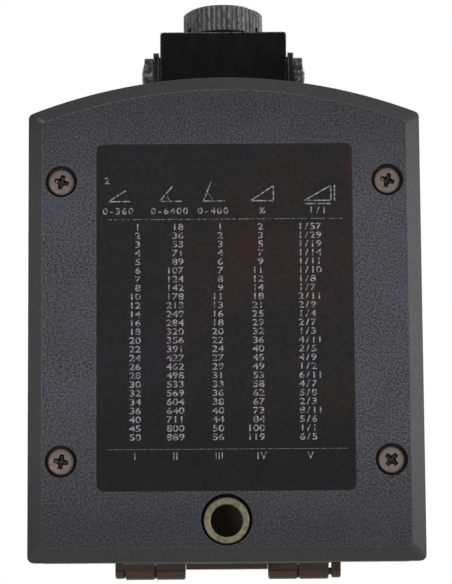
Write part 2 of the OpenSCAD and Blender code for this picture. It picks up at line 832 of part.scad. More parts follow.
// Curved leaf on the bezel's seat, with a nose that clicks under the skirt.
module click_spring() {
    leaf_in_r = skirt_in_r + click_edge;
    leaf_out_r = skirt_r - click_edge;
    color([0.6, 0.6, 0.62]) rotate(click_at) translate([0, 0, bezel_seat_z]) {
        rotate_extrude(angle = click_angle)
            translate([leaf_in_r, 0]) square([leaf_out_r - leaf_in_r, click_leaf_t]);
        rotate(click_angle / 2) translate([leaf_in_r, 0, 0]) rotate([90, 0, 90])
            linear_extrude(leaf_out_r - leaf_in_r - click_edge) intersection() {
                circle(r = click_nose_r, $fn = SMALL_FN);
                translate([-click_nose_r, 0]) square([2 * click_nose_r, click_nose_r]);
            }
    }
}

module bezel_ring() {
    color([0.16, 0.16, 0.17]) difference() {
        union() {
            translate([0, 0, bezel_z]) linear_extrude(grip_h)
                polygon(fluted_points(bezel_r, flute_depth, bezel_flutes));
            translate([0, 0, deck_z - skirt_depth]) cylinder(r = skirt_r, h = skirt_depth + cut);
            rotate_extrude() polygon([[bezel_lip_r, bezel_z], [bezel_r - flute_depth, bezel_z],
                [bezel_r - flute_depth, bezel_z + grip_h], [bezel_glass_r + bezel_top_w, bezel_top],
                [bezel_lip_r, bezel_top]]);
        }
        translate([0, 0, deck_z - skirt_depth - cut])
            cylinder(r = skirt_in_r, h = skirt_depth + cut + bezel_z - deck_z);
        translate([0, 0, bezel_z - cut]) cylinder(r = bezel_lip_r, h = bezel_h + 2 * cut);
        translate([0, 0, bezel_glass_z]) cylinder(r = bezel_glass_r + seat_gap, h = bezel_h);
        // Groove for the snap ring.
        ring(skirt_r + cut, skirt_r - clip_bite - clip_groove, clip_z - side_gap, clip_t + 2 * side_gap);
        translate([0, -bezel_glass_r - bezel_top_w / 2, bezel_top - index_depth])
            cylinder(r = index_r + seat_gap, h = index_depth + cut, $fn = SMALL_FN);
    }
}

module bezel_glass() {
    color([0.8, 0.9, 0.9, 0.3]) translate([0, 0, bezel_glass_z])
        cylinder(r = bezel_glass_r, h = bezel_glass_t);
}

module glass_ring() {
    color([0.2, 0.2, 0.2]) ring(bezel_glass_r, bezel_lip_r, glass_ring_z, glass_ring_t);
}

module bezel_index() {
    color([0.8, 0.95, 0.7]) translate([0, -bezel_glass_r - bezel_top_w / 2, bezel_top - index_depth])
        cylinder(r = index_r, h = index_depth, $fn = SMALL_FN);
}

// Countersunk holes of a hinge leaf, along -Y from its outer face.
module leaf_holes(at) {
    shank_r = leaf_screw_r + seat_gap;
    head_r = leaf_head_r + seat_gap;
    both_sides() translate([at.x, leaf_y + leaf_t, at.y]) rotate([90, 0, 0]) {
        translate([0, 0, -cut]) cylinder(r = head_r, h = cut + seat_gap, $fn = SMALL_FN);
        translate([0, 0, seat_gap]) cylinder(r1 = head_r, r2 = shank_r, h = leaf_head_t, $fn = SMALL_FN);
        cylinder(r = shank_r, h = leaf_t + cut, $fn = SMALL_FN);
    }
}

module leaf_screws(at) {
    both_sides() translate([at.x, leaf_y + leaf_t, at.y]) rotate([90, 0, 0]) difference() {
        union() {
            cylinder(r1 = leaf_head_r, r2 = leaf_screw_r, h = leaf_head_t, $fn = SMALL_FN);
            cylinder(r = leaf_screw_r, h = leaf_t + leaf_screw_l, $fn = SMALL_FN);
        }
        cross_recess(leaf_cross_w, leaf_cross_slit, 0, leaf_cross_depth);
    }
}

// A rod along +X from x, with its edges bevelled.
module bevelled_rod_x(x, r, l, edge) {
    translate([x, 0, 0]) rotate([0, 90, 0]) rotate_extrude($fn = SMALL_FN)
        polygon([[0, 0], [r - edge, 0], [r, edge], [r, l - edge], [r - edge, l], [0, l]]);
}

// Flat part of a leaf, let into its end wall: a plate that reaches h from the hinge line, the feet of
// two knuckles and a middle foot. It lies above the hinge line. With its edges moved out by grow it is
// the leaf's bed, which is open towards the hinge line.
module leaf_plate(x, l, h, grow = 0) {
    middle_x = knuckle_x - hinge_gap + grow;
    middle_z = grow > 0 ? 0 : hinge_gap;
    translate([0, leaf_y - hinge_y - grow, 0]) {
        translate([-case_knuckle_end - grow, 0, leaf_notch - grow])
            cube([2 * (case_knuckle_end + grow), leaf_t + grow, h - leaf_notch + 2 * grow]);
        both_sides() translate([x - grow, 0, 0]) cube([l + 2 * grow, leaf_t + grow, leaf_notch]);
        translate([-middle_x, 0, middle_z])
            cube([2 * middle_x, leaf_t + grow, leaf_notch - middle_z]);
    }
}

// A leaf with its two knuckles and the bar that stops the lid, drawn above the hinge line.
module hinge_leaf(x, l, h, bore_r) {
    difference() {
        union() {
            leaf_plate(x, l, h);
            translate([-knuckle_x + hinge_gap, leaf_y - hinge_y, hinge_gap])
                cube([2 * (knuckle_x - hinge_gap), leaf_t + stop_out, stop_h - hinge_gap]);
            both_sides() {
                bevelled_rod_x(x, knuckle_d / 2, l, knuckle_edge);
                translate([x, leaf_y - hinge_y, 0]) cube([l, hinge_y - leaf_y, knuckle_d / 2]);
            }
        }
        both_sides() rod_x(x - cut, bore_r, l + 2 * cut);
    }
}

module case_hinge_leaf() {
    color([0.22, 0.19, 0.16]) difference() {
        at_hinge() mirror([0, 0, 1])
            hinge_leaf(case_knuckle_x, knuckle_l, case_leaf_h, pin_d / 2 + pin_seat);
        leaf_holes(case_leaf_screw);
    }
}

module lid_hinge_leaf() {
    color([0.22, 0.19, 0.16]) difference() {
        at_hinge() hinge_leaf(knuckle_x, lid_knuckle_end - knuckle_x, lid_leaf_top - hinge_z,
            pin_d / 2 + run_gap);
        leaf_holes(lid_leaf_screw);
    }
}

module case_leaf_screws() {
    color([0.3, 0.26, 0.22]) leaf_screws(case_leaf_screw);
}

module lid_leaf_screws() {
    color([0.3, 0.26, 0.22]) leaf_screws(lid_leaf_screw);
}

// One headed pin, worked out of its knuckles by shift. The heel of its head bears on the end wall.
module hinge_pin(shift) {
    start_x = knuckle_x + pin_start;
    head_x = case_knuckle_end + shift + seat_gap;
    rod_x(start_x, pin_d / 2, head_x + pin_head_l / 2 - start_x);
    bevelled_rod_x(head_x, pin_head_r, pin_head_l, pin_head_edge);
    heel_y = hinge_y - end_wall_y - seat_gap;
    translate([head_x, -heel_y, -pin_heel_drop - pin_heel_h]) cube([pin_head_l, heel_y, pin_heel_h]);
}

module hinge_pins() {
    color([0.22, 0.19, 0.16]) at_hinge() {
        hinge_pin(pin_out);
        mirror([1, 0, 0]) hinge_pin(0);
    }
}

module lid_frame() {
    color([0.26, 0.26, 0.28]) difference() {
        hull() {
            case_slab(lid_z, lid_top - lid_z - lid_bevel, body_step);
            case_slab(lid_z, lid_top - lid_z, body_step + lid_bevel);
        }
        translate([0, 0, lid_z - cut]) cylinder(r = pocket_r, h = lid_pocket_top - lid_z + cut);
        translate([0, 0, lid_z - cut]) linear_extrude(lid_top - lid_z + 2 * cut) polygon(rounded(
            box_points(-notch_half_w, notch_half_w, -half_l - 3 * notch_r, notch_end_y), notch_r));
        translate([-slot_w / 2, slot_y[0], lid_z]) cube([slot_w, slot_l, lid_top]);
        // Hollows for the sighting wire's ends.
        translate([0, slot_y[0] - wire_anchor, lid_pocket_top + lid_plate_t / 2]) rotate([-90, 0, 0])
            cylinder(d = wire_d + 2 * seat_gap, h = slot_l + 2 * wire_anchor, $fn = SMALL_FN);
        at_lid_dots() translate([0, 0, lid_top - inlay_depth])
            cylinder(d = dot_d + 2 * seat_gap, h = inlay_depth + cut, $fn = SMALL_FN);
        at_lid_pads() translate([0, 0, lid_z - cut])
            cylinder(r = pad_r + seat_gap, h = cut + pad_seat, $fn = SMALL_FN);
        at_hinge() leaf_plate(knuckle_x, lid_knuckle_end - knuckle_x, lid_leaf_top - hinge_z, seat_gap);
        leaf_screw_bores(lid_leaf_screw);
    }
}

module at_lid_dots() {
    inset = lid_dot_gap + dot_d / 2;
    for (y = [slot_y[0] - inset, slot_y[1] + inset]) translate([0, y, 0]) children();
}

module at_lid_pads() {
    both_sides() translate([pad_pos.x, pad_pos.y, 0]) children();
}

module sight_wire() {
    start_y = slot_y[0] - wire_anchor + seat_gap;
    color([0.7, 0.7, 0.7]) translate([0, start_y, lid_pocket_top + lid_plate_t / 2]) rotate([-90, 0, 0])
        cylinder(d = wire_d, h = slot_l + 2 * (wire_anchor - seat_gap), $fn = SMALL_FN);
}

module lid_dots() {
    color([0.8, 0.95, 0.7]) at_lid_dots() translate([0, 0, lid_top - inlay_depth])
        cylinder(d = dot_d, h = inlay_depth, $fn = SMALL_FN);
}

module lid_pads() {
    color([0.06, 0.06, 0.06]) at_lid_pads() translate([0, 0, lid_z - pad_out])
        cylinder(r = pad_r, h = pad_out + pad_seat, $fn = SMALL_FN);
}

// Screw through each lug, with a domed head outside and a plain end that the bracket turns on.
module pivot_screws() {
    dome_r = (pivot_head_r * pivot_head_r + pivot_head_t * pivot_head_t) / (2 * pivot_head_t);
    shank_l = lug_end_x - arm_x - pin_start;
    color([0.2, 0.2, 0.2]) both_sides() translate([lug_end_x, pivot_y, pivot_z]) rotate([0, 90, 0])
        difference() {
            union() {
                intersection() {
                    translate([0, 0, pivot_head_t - dome_r]) sphere(r = dome_r);
                    cylinder(r = pivot_head_r, h = pivot_head_t + cut, $fn = SMALL_FN);
                }
                translate([0, 0, -shank_l])
                    cylinder(d = pivot_d, h = shank_l + pivot_slit_z / 2, $fn = SMALL_FN);
            }
            translate([-pivot_head_r, -pivot_slit / 2, pivot_slit_z])
                cube([2 * pivot_head_r, pivot_slit, cut]);
        }
}

module eyepiece_spring() {
    color([0.6, 0.6, 0.62]) translate([0, 0, deck_z]) difference() {
        translate([-spring_half_w, spring_y[0], 0])
            cube([2 * spring_half_w, spring_y[1] - spring_y[0], spring_t]);
        translate([0, spring_screw_y, -cut])
            cylinder(r = cap_screw_r + seat_gap, h = spring_t + 2 * cut, $fn = SMALL_FN);
    }
}

module spring_screw() {
    color([0.5, 0.5, 0.5]) translate([0, spring_screw_y, deck_z]) {
        translate([0, 0, spring_t]) cylinder(r = spring_head_r, h = spring_head_t, $fn = SMALL_FN);
        translate([0, 0, seat_gap - spring_screw_l])
            cylinder(r = cap_screw_r, h = spring_screw_l + spring_t, $fn = SMALL_FN);
    }
}

// Block with the lens bore, its neck and the prism chamber.
module eyepiece_housing() {
    window_half_w = prism_half_w - window_ledge;
    color([0.08, 0.08, 0.08]) difference() {
        union() {
            on_sight() translate([0, 0, block_under_z]) linear_extrude(block_top_z - block_under_z)
                polygon(rounded(box_points(-block_half_w, block_half_w, -block_out, block_step_y),
                    block_edge_r));
            on_sight() translate([-inner_half_w, 0, block_over_z])
                cube([2 * inner_half_w, block_in - cap_t, inner_h]);
            on_optics() translate([0, 0, -cut]) cylinder(d = neck_d, h = neck_l + cut);
        }
        on_optics() translate([0, 0, -block_out - chamber_y - cut])
            cylinder(d = bore_d, h = block_out + chamber_y + neck_l + 2 * cut);
        on_optics() ring(neck_d / 2 + cut, neck_d / 2 - groove_depth, groove_start, groove_w);
        on_sight() translate([-prism_half_w, chamber_y, block_over_z + window_t])
            cube([2 * prism_half_w, block_in - chamber_y, prism_h + chamber_room]);
        on_sight() translate([-window_half_w, prism_y, block_over_z - cut])
            cube([2 * window_half_w, prism_h, window_t + 2 * cut]);
        on_sight() at_cap_screws() translate([0, 0, -cap_screw_l - seat_gap])
            cylinder(r = cap_screw_r + seat_gap, h = cap_screw_l + cut, $fn = SMALL_FN);
        on_sight() at_bracket_screws() translate([0, 0, -bracket_screw_l - seat_gap])
            cylinder(r = bracket_screw_r + seat_gap, h = bracket_screw_l + cut, $fn = SMALL_FN);
    }
}

module at_bracket_screws() {
    both_sides() translate([bracket_screw_x, (bridge_y[0] + bridge_y[1]) / 2, block_top_z]) children();
}

// Screw places on the inner end of the block: z points back towards the dial.
module at_cap_screws() {
    both_sides() translate([inner_half_w - cap_screw_inset, block_in - cap_t, block_over_z + inner_h / 2])
        rotate([-90, 0, 0]) children();
}

module prism_window() {
    window_half_w = prism_half_w - window_ledge - seat_gap;
    color([0.8, 0.9, 0.9, 0.4]) on_sight()
        translate([-window_half_w, prism_y + seat_gap, block_over_z + seat_gap])
            cube([2 * window_half_w, prism_h - 2 * seat_gap, window_t - seat_gap]);
}

module prism() {
    color([0.85, 0.92, 0.95, 0.5]) on_sight()
        side_on(-prism_half_w + seat_gap, 2 * prism_half_w - 2 * seat_gap)
            polygon([[prism_y, prism_z], [prism_y + prism_h, prism_z], [prism_y, prism_z + prism_h]]);
}

module prism_cap() {
    color([0.08, 0.08, 0.08]) on_sight() difference() {
        translate([-inner_half_w, block_in - cap_t, block_over_z])
            cube([2 * inner_half_w, cap_t, inner_h]);
        at_cap_screws() {
            translate([0, 0, -cut])
                cylinder(r = cap_screw_r + seat_gap, h = cap_t + 2 * cut, $fn = SMALL_FN);
            translate([0, 0, cap_t - cap_screw_head_t])
                cylinder(r = cap_screw_head_r + seat_gap, h = cut, $fn = SMALL_FN);
        }
    }
}

module cap_screws() {
    color([0.5, 0.5, 0.5]) on_sight() at_cap_screws() difference() {
        union() {
            translate([0, 0, cap_t - cap_screw_head_t])
                cylinder(r = cap_screw_head_r, h = cap_screw_head_t, $fn = SMALL_FN);
            translate([0, 0, -cap_screw_l])
                cylinder(r = cap_screw_r, h = cap_screw_l + cap_t - cap_screw_head_t / 2, $fn = SMALL_FN);
        }
        translate([-cap_screw_head_r - cut, -slit_w / 2, cap_t - slit_depth])
            cube([2 * (cap_screw_head_r + cut), slit_w, cut]);
    }
}

// Side plates, the bridge over the block and the notched rear sight.
module eyepiece_bracket() {
    arm_top = block_top_z + bridge_t;
    arm_foot = block_under_z + arm_step;
    color([0.09, 0.09, 0.09]) on_sight() difference() {
        union() {
            both_sides() side_on(arm_x, arm_t) union() {
                polygon(rounded(box_points(-arm_out, arm_hub_in, arm_under_z, arm_top), arm_corner_r));
                translate([-arm_out + arm_corner_r, arm_foot])
                    square([arm_out - arm_corner_r + arm_in, arm_top - arm_foot]);
            }
            translate([-arm_x - arm_t / 2, bridge_y[0], block_top_z])
                cube([2 * arm_x + arm_t, bridge_y[1] - bridge_y[0], bridge_t]);
            translate([-sight_blade_w / 2, arm_in - sight_blade_t, block_top_z])
                cube([sight_blade_w, sight_blade_t, bridge_t + sight_blade_h]);
        }
        both_sides() rod_x(arm_x - cut, pivot_d / 2 + run_gap, arm_t + 2 * cut);
        at_bracket_screws() cylinder(r = bracket_screw_r + seat_gap, h = bridge_t + cut, $fn = SMALL_FN);
        translate([0, arm_in - sight_blade_t - cut, arm_top + sight_blade_h]) rotate([-90, 0, 0])
            linear_extrude(sight_blade_t + 2 * cut)
                polygon([[-sight_notch, -cut], [sight_notch, -cut], [0, sight_notch]]);
    }
}

module bracket_screws() {
    head_top = bridge_t + bracket_head_t;
    color([0.45, 0.45, 0.45]) on_sight() at_bracket_screws() difference() {
        union() {
            translate([0, 0, bridge_t]) cylinder(r = bracket_head_r, h = bracket_head_t, $fn = SMALL_FN);
            translate([0, 0, -bracket_screw_l])
                cylinder(r = bracket_screw_r, h = bracket_screw_l + head_top / 2, $fn = SMALL_FN);
        }
        translate([-bracket_head_r - cut, -bracket_slit_w / 2, head_top - bracket_slit_depth])
            cube([2 * (bracket_head_r + cut), bracket_slit_w, cut]);
    }
}

module focus_ring() {
    rim_r = ring_d / 2 - ring_flute_depth + skin;
    color([0.3, 0.3, 0.3]) on_optics() difference() {
        translate([0, 0, ring_gap]) union() {
            linear_extrude(ring_l - ring_rim)
                polygon(fluted_points(ring_d / 2, ring_flute_depth, ring_flutes));
            cylinder(r = rim_r, h = ring_l - ring_rim);
            translate([0, 0, ring_l - ring_rim]) cylinder(r1 = rim_r, r2 = rim_r - ring_rim, h = ring_rim);
        }
        translate([0, 0, -cut])
            cylinder(d = neck_d + 2 * run_gap, h = cut + ring_gap + ring_l - ring_flange_t);
        cylinder(d = ring_mouth_d, h = ring_gap + ring_l + cut);
        at_focus_screws() translate([0, 0, -cut])
            cylinder(r = focus_screw_r + seat_gap, h = ring_d, $fn = SMALL_FN);
    }
}

// Radial places of the grub screws: z points outwards from the bottom of the neck's groove.
module at_focus_screws() {
    for (i = [0 : 2]) rotate(90 + 120 * i) translate([neck_d / 2, 0, groove_start + groove_w / 2])
        rotate([0, 90, 0]) children();
}

module focus_screws() {
    screw_l = (ring_d - neck_d + groove_depth) / 2 - focus_screw_sink;
    color([0.5, 0.5, 0.5]) on_optics() at_focus_screws() translate([0, 0, -groove_depth / 2])
        cylinder(r = focus_screw_r, h = screw_l, $fn = SMALL_FN);
}

module lens_cell() {
    lip_z = cell_out - cell_lip;
    color([0.12, 0.12, 0.12]) on_optics() difference() {
        translate([0, 0, cell_in]) cylinder(d = cell_d, h = cell_out - cell_in);
        translate([0, 0, cell_in - cut]) cylinder(d = lens_d + 2 * seat_gap, h = lip_z - cell_in + cut);
        translate([0, 0, lip_z - cut]) cylinder(d = lens_d - 2 * lens_edge, h = cell_lip + 2 * cut);
    }
}

// Plano-convex lens with its curved side towards the prism.
module eyepiece_lens() {
    lens_r = (lens_d * lens_d / 4 + lens_bulge * lens_bulge) / (2 * lens_bulge);
    color([0.85, 0.92, 0.95, 0.5]) on_optics() translate([0, 0, lens_z]) intersection() {
        translate([0, 0, -cut]) cylinder(d = lens_d, h = lens_t + cut);
        translate([0, 0, lens_r]) sphere(r = lens_r);
    }
}

module lens_ring() {
    top_z = lens_z + lens_bulge - lens_ring_gap;
    color([0.2, 0.2, 0.2]) on_optics()
        ring(lens_d / 2, lens_d / 2 - lens_edge, top_z - lens_ring_t, lens_ring_t, $fn = SMALL_FN);
}

bottom_cover();
label_plate();
cover_screws();
tripod_bush();
cover_gasket();
case_body();
side_scale();
index_dots();
level_cup();
level_vial();
capsule_cup();
capsule_screws();
pivot_post();
compass_card();
card_magnet();
card_jewel();
clinometer_scale();
clinometer_stud();
clinometer_pointer();
pointer_bush();
capsule_seal();
capsule_glass();
capsule_ring();
bezel_clip();
click_spring();
bezel_ring();
bezel_glass();
glass_ring();
bezel_index();
case_hinge_leaf();
case_leaf_screws();
hinge_pins();
lid_frame();
lid_hinge_leaf();
lid_leaf_screws();
sight_wire();
lid_dots();
lid_pads();
pivot_screws();
eyepiece_spring();
spring_screw();
eyepiece_housing();
eyepiece_bracket();
bracket_screws();
prism();
prism_window();
prism_cap();
cap_screws();
focus_ring();
focus_screws();
lens_cell();
eyepiece_lens();
lens_ring();
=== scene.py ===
"""Looks of the marching compass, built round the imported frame. Lengths are in mm and angles in degrees."""

import math
from fractions import Fraction

import bmesh
import bpy
from mathutils import Matrix, Vector


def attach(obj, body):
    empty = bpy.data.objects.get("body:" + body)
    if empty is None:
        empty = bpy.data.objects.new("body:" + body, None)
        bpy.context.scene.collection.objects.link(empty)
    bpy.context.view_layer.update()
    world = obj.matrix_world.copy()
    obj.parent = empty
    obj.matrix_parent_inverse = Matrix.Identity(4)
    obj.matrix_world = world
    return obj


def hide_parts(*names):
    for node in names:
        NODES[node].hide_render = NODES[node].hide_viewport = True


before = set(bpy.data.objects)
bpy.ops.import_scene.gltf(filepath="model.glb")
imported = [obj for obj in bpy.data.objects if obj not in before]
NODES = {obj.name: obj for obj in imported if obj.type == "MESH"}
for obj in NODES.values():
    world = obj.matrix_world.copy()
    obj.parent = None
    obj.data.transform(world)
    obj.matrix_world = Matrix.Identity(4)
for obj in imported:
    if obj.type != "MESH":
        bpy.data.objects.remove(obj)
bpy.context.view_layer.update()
MM = 0.001
LIFT = 0.012  # print stands this far off its surface


def srgb(r, g, b):
    """Linear colour of an sRGB one, 0 to 255."""
    return tuple(c / 3294.6 if c <= 10 else ((c / 255 + 0.055) / 1.055) ** 2.4 for c in (r, g, b)) + (1,)


def toned(colour, factor, lift=0.0):
    """A linear colour made lighter or darker by a factor and a lift."""
    return tuple(factor * c + lift for c in colour[:3]) + (1,)


# Places that part.scad settles, in mm.
OPTIC = Vector((0, -51.4996, 26.4026))  # the lens axis at the outer face of the block
OPTIC_OUT = Vector((0, -0.99863, 0.052336))
PIVOT = Vector((0, -44.0, 17.6))
SOCKET = Vector((0, 33.5, 0.3))
LEVEL = Vector((24.5, -28.5, 19.0))
CORNER = Vector((-30.1, -32.7, 0.3))  # the bevel's corner, where the painted edge highlight is strongest and a painted highlight lies on its ridge
CARD_TOP, SLOPE_SCALE_TOP = 11.8, 11.6
BEZEL_RIM_R, BEZEL_RIM_Z = 28.17, 20.0
BEZEL_CREST_R, BEZEL_CREST_Z = 26.05, 21.2
RULE_X, RULE_START = 32.2, -30
PIN = Vector((0, 41.5, 19.1))
PIN_BORE_R = 0.62


class Look:
    """A material whose nodes read places in mm."""

    def __init__(self, name, colour, rough=0.5, metal=0.0, shine=0.5):
        self.mat = bpy.data.materials.new(name)
        self.mat.use_nodes = True
        self.mat.diffuse_color = colour
        self.tree = self.mat.node_tree
        self.shader = self.tree.nodes["Principled BSDF"]
        self.surface = self.tree.nodes["Material Output"].inputs["Surface"]
        plain = {"Base Color": colour, "Roughness": rough, "Metallic": metal, "Specular IOR Level": shine}
        for key, value in plain.items():
            self.shader.inputs[key].default_value = value
        place = self.add("ShaderNodeTexCoord").outputs["Object"]
        self.mm = self.vector("SCALE", place, factor=1 / MM)

    def add(self, kind, **settings):
        node = self.tree.nodes.new(kind)
        for key, value in settings.items():
            setattr(node, key, value)
        return node

    def feed(self, socket, value):
        """Links a socket into another, or sets it to a plain value."""
        if isinstance(value, bpy.types.NodeSocket):
            self.tree.links.new(value, socket)
        else:
            socket.default_value = value

    def put(self, key, value):
        """Feeds an input of the shader."""
        self.feed(self.shader.inputs[key], value)

    def vector(self, operation, a, b=None, factor=None):
        node = self.add("ShaderNodeVectorMath", operation=operation)
        self.feed(node.inputs[0], a)
        if b is not None:
            self.feed(node.inputs[1], b)
        if factor is not None:
            self.feed(node.inputs["Scale"], factor)
        return node.outputs["Value" if operation in ("LENGTH", "DOT_PRODUCT") else "Vector"]

    def math(self, operation, a, b=0.0):
        node = self.add("ShaderNodeMath", operation=operation)
        self.feed(node.inputs[0], a)
        self.feed(node.inputs[1], b)
        return node.outputs[0]

    def axis(self, letter, place=None):
        """One coordinate of a vector, or else of the place in mm."""
        node = self.add("ShaderNodeSeparateXYZ")
        self.feed(node.inputs[0], place or self.mm)
        return node.outputs[letter]

    def noise(self, scale, detail, rough, stretch=None):
        """Noise with scale grains to a mm, drawn out along the axes where stretch is under 1."""
        node = self.add("ShaderNodeTexNoise")
        place = self.vector("MULTIPLY", self.mm, stretch) if stretch else self.mm
        for key, value in {"Vector": place, "Scale": scale, "Detail": detail, "Roughness": rough}.items():
            self.feed(node.inputs[key], value)
        return node.outputs["Fac"]

    def span(self, value, low, high, to_low=0.0, to_high=1.0):
        """value, moved from low..high to to_low..to_high and held there."""
        node = self.add("ShaderNodeMapRange")
        for socket, number in zip(node.inputs, (value, low, high, to_low, to_high)):
            self.feed(socket, number)
        return node.outputs[0]

    def mix(self, share, a, b):
        """Colour a, turning to b as share goes from 0 to 1."""
        node = self.add("ShaderNodeMix", data_type="RGBA")
        # Inputs 6 and 7 and output 2 are the node's sockets for colours.
        self.feed(node.inputs["Factor"], share)
        self.feed(node.inputs[6], a)
        self.feed(node.inputs[7], b)
        return node.outputs[2]

    def rounding(self, radius):
        """Normal of the surface with its edges rounded by radius."""
        node = self.add("ShaderNodeBevel", samples=4)
        node.inputs["Radius"].default_value = radius * MM
        return node.outputs["Normal"]

    def edges(self, radius, low=0.02, high=0.25):
        """1 along sharp edges, 0 away from them."""
        flat = self.add("ShaderNodeNewGeometry").outputs["True Normal"]
        return self.span(self.vector("DOT_PRODUCT", self.rounding(radius), flat), 1 - low, 1 - high)

    def bump(self, height, depth, strength, normal):
        """Relief of a depth in mm, laid on a normal."""
        node = self.add("ShaderNodeBump")
        node.inputs["Strength"].default_value = strength
        node.inputs["Distance"].default_value = depth * MM
        self.feed(node.inputs["Height"], height)
        self.feed(node.inputs["Normal"], normal)
        self.put("Normal", node.outputs["Normal"])

    def clear(self, tint=(1, 1, 1, 1)):
        node = self.add("ShaderNodeBsdfTransparent")
        node.inputs["Color"].default_value = tint
        return node.outputs[0]

    def back_side(self):
        """1 where the surface is seen from behind."""
        return self.add("ShaderNodeNewGeometry").outputs["Backfacing"]

    def blend(self, share, a, b):
        """Ends the material in shader a, turning to b as share goes from 0 to 1."""
        node = self.add("ShaderNodeMixShader")
        for socket, value in zip(node.inputs, (share, a, b)):
            self.feed(socket, value)
        self.feed(self.surface, node.outputs[0])


def cover_look():
    """Grained powder coat of the back with painted shade towards its ends, and a smooth grey bevel. Its edges
    carry a light line that is partly wear and partly painted highlight, and a painted highlight lies on the
    bevel's ridge at one corner.
    """
    look = Look("cover_paint", srgb(72, 71, 76), rough=0.6, shine=0.12)
    grain = look.noise(3.1, 4, 0.68)
    flat = look.span(look.axis("Z"), 0.01, 0.05, 1, 0)
    along = look.axis("Y")
    # ends: painted shade, darker towards both ends of the back, laid on the coat and on the bevel.
    ends = look.math("ADD", look.span(along, 20, 35, 0, 0.5), look.span(along, -20, -35, 0, 0.42))
    coat = look.mix(look.span(grain, 0.39, 0.61), srgb(22, 21, 25), srgb(87, 86, 90))
    coat = look.mix(look.span(look.noise(0.09, 3, 0.6), 0.4, 0.65, 0, 0.3), coat, srgb(56, 55, 58))
    bluish = look.span(look.noise(0.1, 3, 0.5, (1, 1.4, 1)), 0.4, 0.7, 0, 0.24)
    coat = look.mix(bluish, coat, srgb(82, 80, 98))
    coat = look.mix(look.span(look.noise(4.6, 2, 0.5), 0.62, 0.7, 0, 0.7), coat, srgb(124, 123, 130))
    coat = look.mix(ends, coat, srgb(30, 30, 32))
    smooth = look.mix(look.span(grain, 0.35, 0.65), srgb(58, 58, 59), srgb(73, 73, 73))
    smooth = look.mix(look.span(look.noise(2.2, 3, 0.7), 0.62, 0.72, 0, 0.5), smooth, srgb(104, 104, 104))
    smooth = look.mix(ends, smooth, srgb(38, 38, 38))
    # The light edge line is partly paint wear and partly a painted highlight along the inner bevel edge. It
    # is strongest near the corner.
    arm = look.vector("SUBTRACT", look.mm, CORNER)
    near_corner = look.span(look.vector("LENGTH", arm), 30, 75, 1, 0.3)
    rub = look.math("MULTIPLY", look.span(look.noise(0.8, 4, 0.6), 0.38, 0.62, 0.3, 1), near_corner)
    worn = look.math("MULTIPLY", look.edges(0.16, 0.004, 0.03), rub)
    # A painted highlight: a thin light streak along the bevel's ridge at the corner.
    ridge = look.math("ABSOLUTE", look.vector("DOT_PRODUCT", arm, (0.63, 0.44, 0)))
    aside = look.math("ABSOLUTE", look.vector("DOT_PRODUCT", arm, (1.4, -2.1, 0)))
    corner_ridge_highlight = look.math("MAXIMUM", ridge, aside)
    smooth = look.mix(look.span(corner_ridge_highlight, 0.1, 1, 0.75, 0), smooth, srgb(112, 109, 122))
    look.put("Base Color", look.mix(worn, look.mix(flat, smooth, coat), srgb(120, 119, 121)))
    look.put("Roughness", look.span(flat, 0, 1, 0.46, 0.6))
    look.bump(look.math("MULTIPLY", grain, flat), 0.08, 0.6, look.rounding(0.12))
    return look.mat


def body_look():
    """Grained powder coat of the case and lid. The two lugs are bare dull metal with bright patches that are
    painted highlights.
    """
    look = Look("body_paint", srgb(66, 66, 69), rough=0.6, shine=0.12)
    grain = look.noise(3.1, 4, 0.68)
    coat = look.mix(look.span(grain, 0.37, 0.63), srgb(42, 42, 45), srgb(80, 80, 84))
    coat = look.mix(look.span(look.noise(0.09, 3, 0.6), 0.4, 0.65, 0, 0.25), coat, srgb(54, 53, 58))
    coat = look.mix(look.span(look.noise(4.6, 2, 0.5), 0.63, 0.7, 0, 0.7), coat, srgb(112, 112, 116))
    lugs = look.span(look.axis("Y"), -41.2, -40.9, 1, 0)
    low = look.span(look.axis("Z"), 15.8, 16.8, 1, 0)
    # dull: the lugs' bare metal, with bright patches that are painted highlights.
    dull = look.mix(look.span(look.noise(0.9, 4, 0.65), 0.48, 0.62), srgb(42, 42, 42), srgb(116, 116, 116))
    coat = look.mix(look.math("MULTIPLY", lugs, low), coat, dull)
    rub = look.span(look.noise(0.8, 4, 0.6), 0.4, 0.6, 0.25, 0.9)
    worn = look.math("MULTIPLY", look.edges(0.16, 0.004, 0.03), rub)
    look.put("Base Color", look.mix(worn, coat, srgb(106, 105, 106)))
    look.put("Roughness", look.span(grain, 0.3, 0.7, 0.5, 0.66))
    look.bump(grain, 0.07, 0.6, look.rounding(0.22))
    return look.mat


def worn_metal(name, colour, bright, rough=0.3, metal=1.0, radius=0.12, streak=None, dirt=None):
    """Plated or blackened metal, rubbed bright along its edges, with faint streaks and dirt."""
    look = Look(name, colour, rough=rough, metal=metal)
    patch = look.noise(0.9, 4, 0.6)
    fine = look.noise(2.5, 3, 0.6, streak or (1, 1, 1))
    rub = look.math("MULTIPLY", look.edges(radius), look.span(patch, 0.4, 0.62, 0.2, 1))
    tone = look.mix(look.span(fine, 0.35, 0.7, 0, 0.45), colour, dirt or toned(colour, 0.45))
    look.put("Base Color", look.mix(rub, tone, bright))
    look.put("Roughness", look.span(fine, 0.3, 0.7, rough * 0.75, min(1, rough * 1.5)))
    look.bump(fine, 0.012, 0.5, look.rounding(radius))
    return look.mat


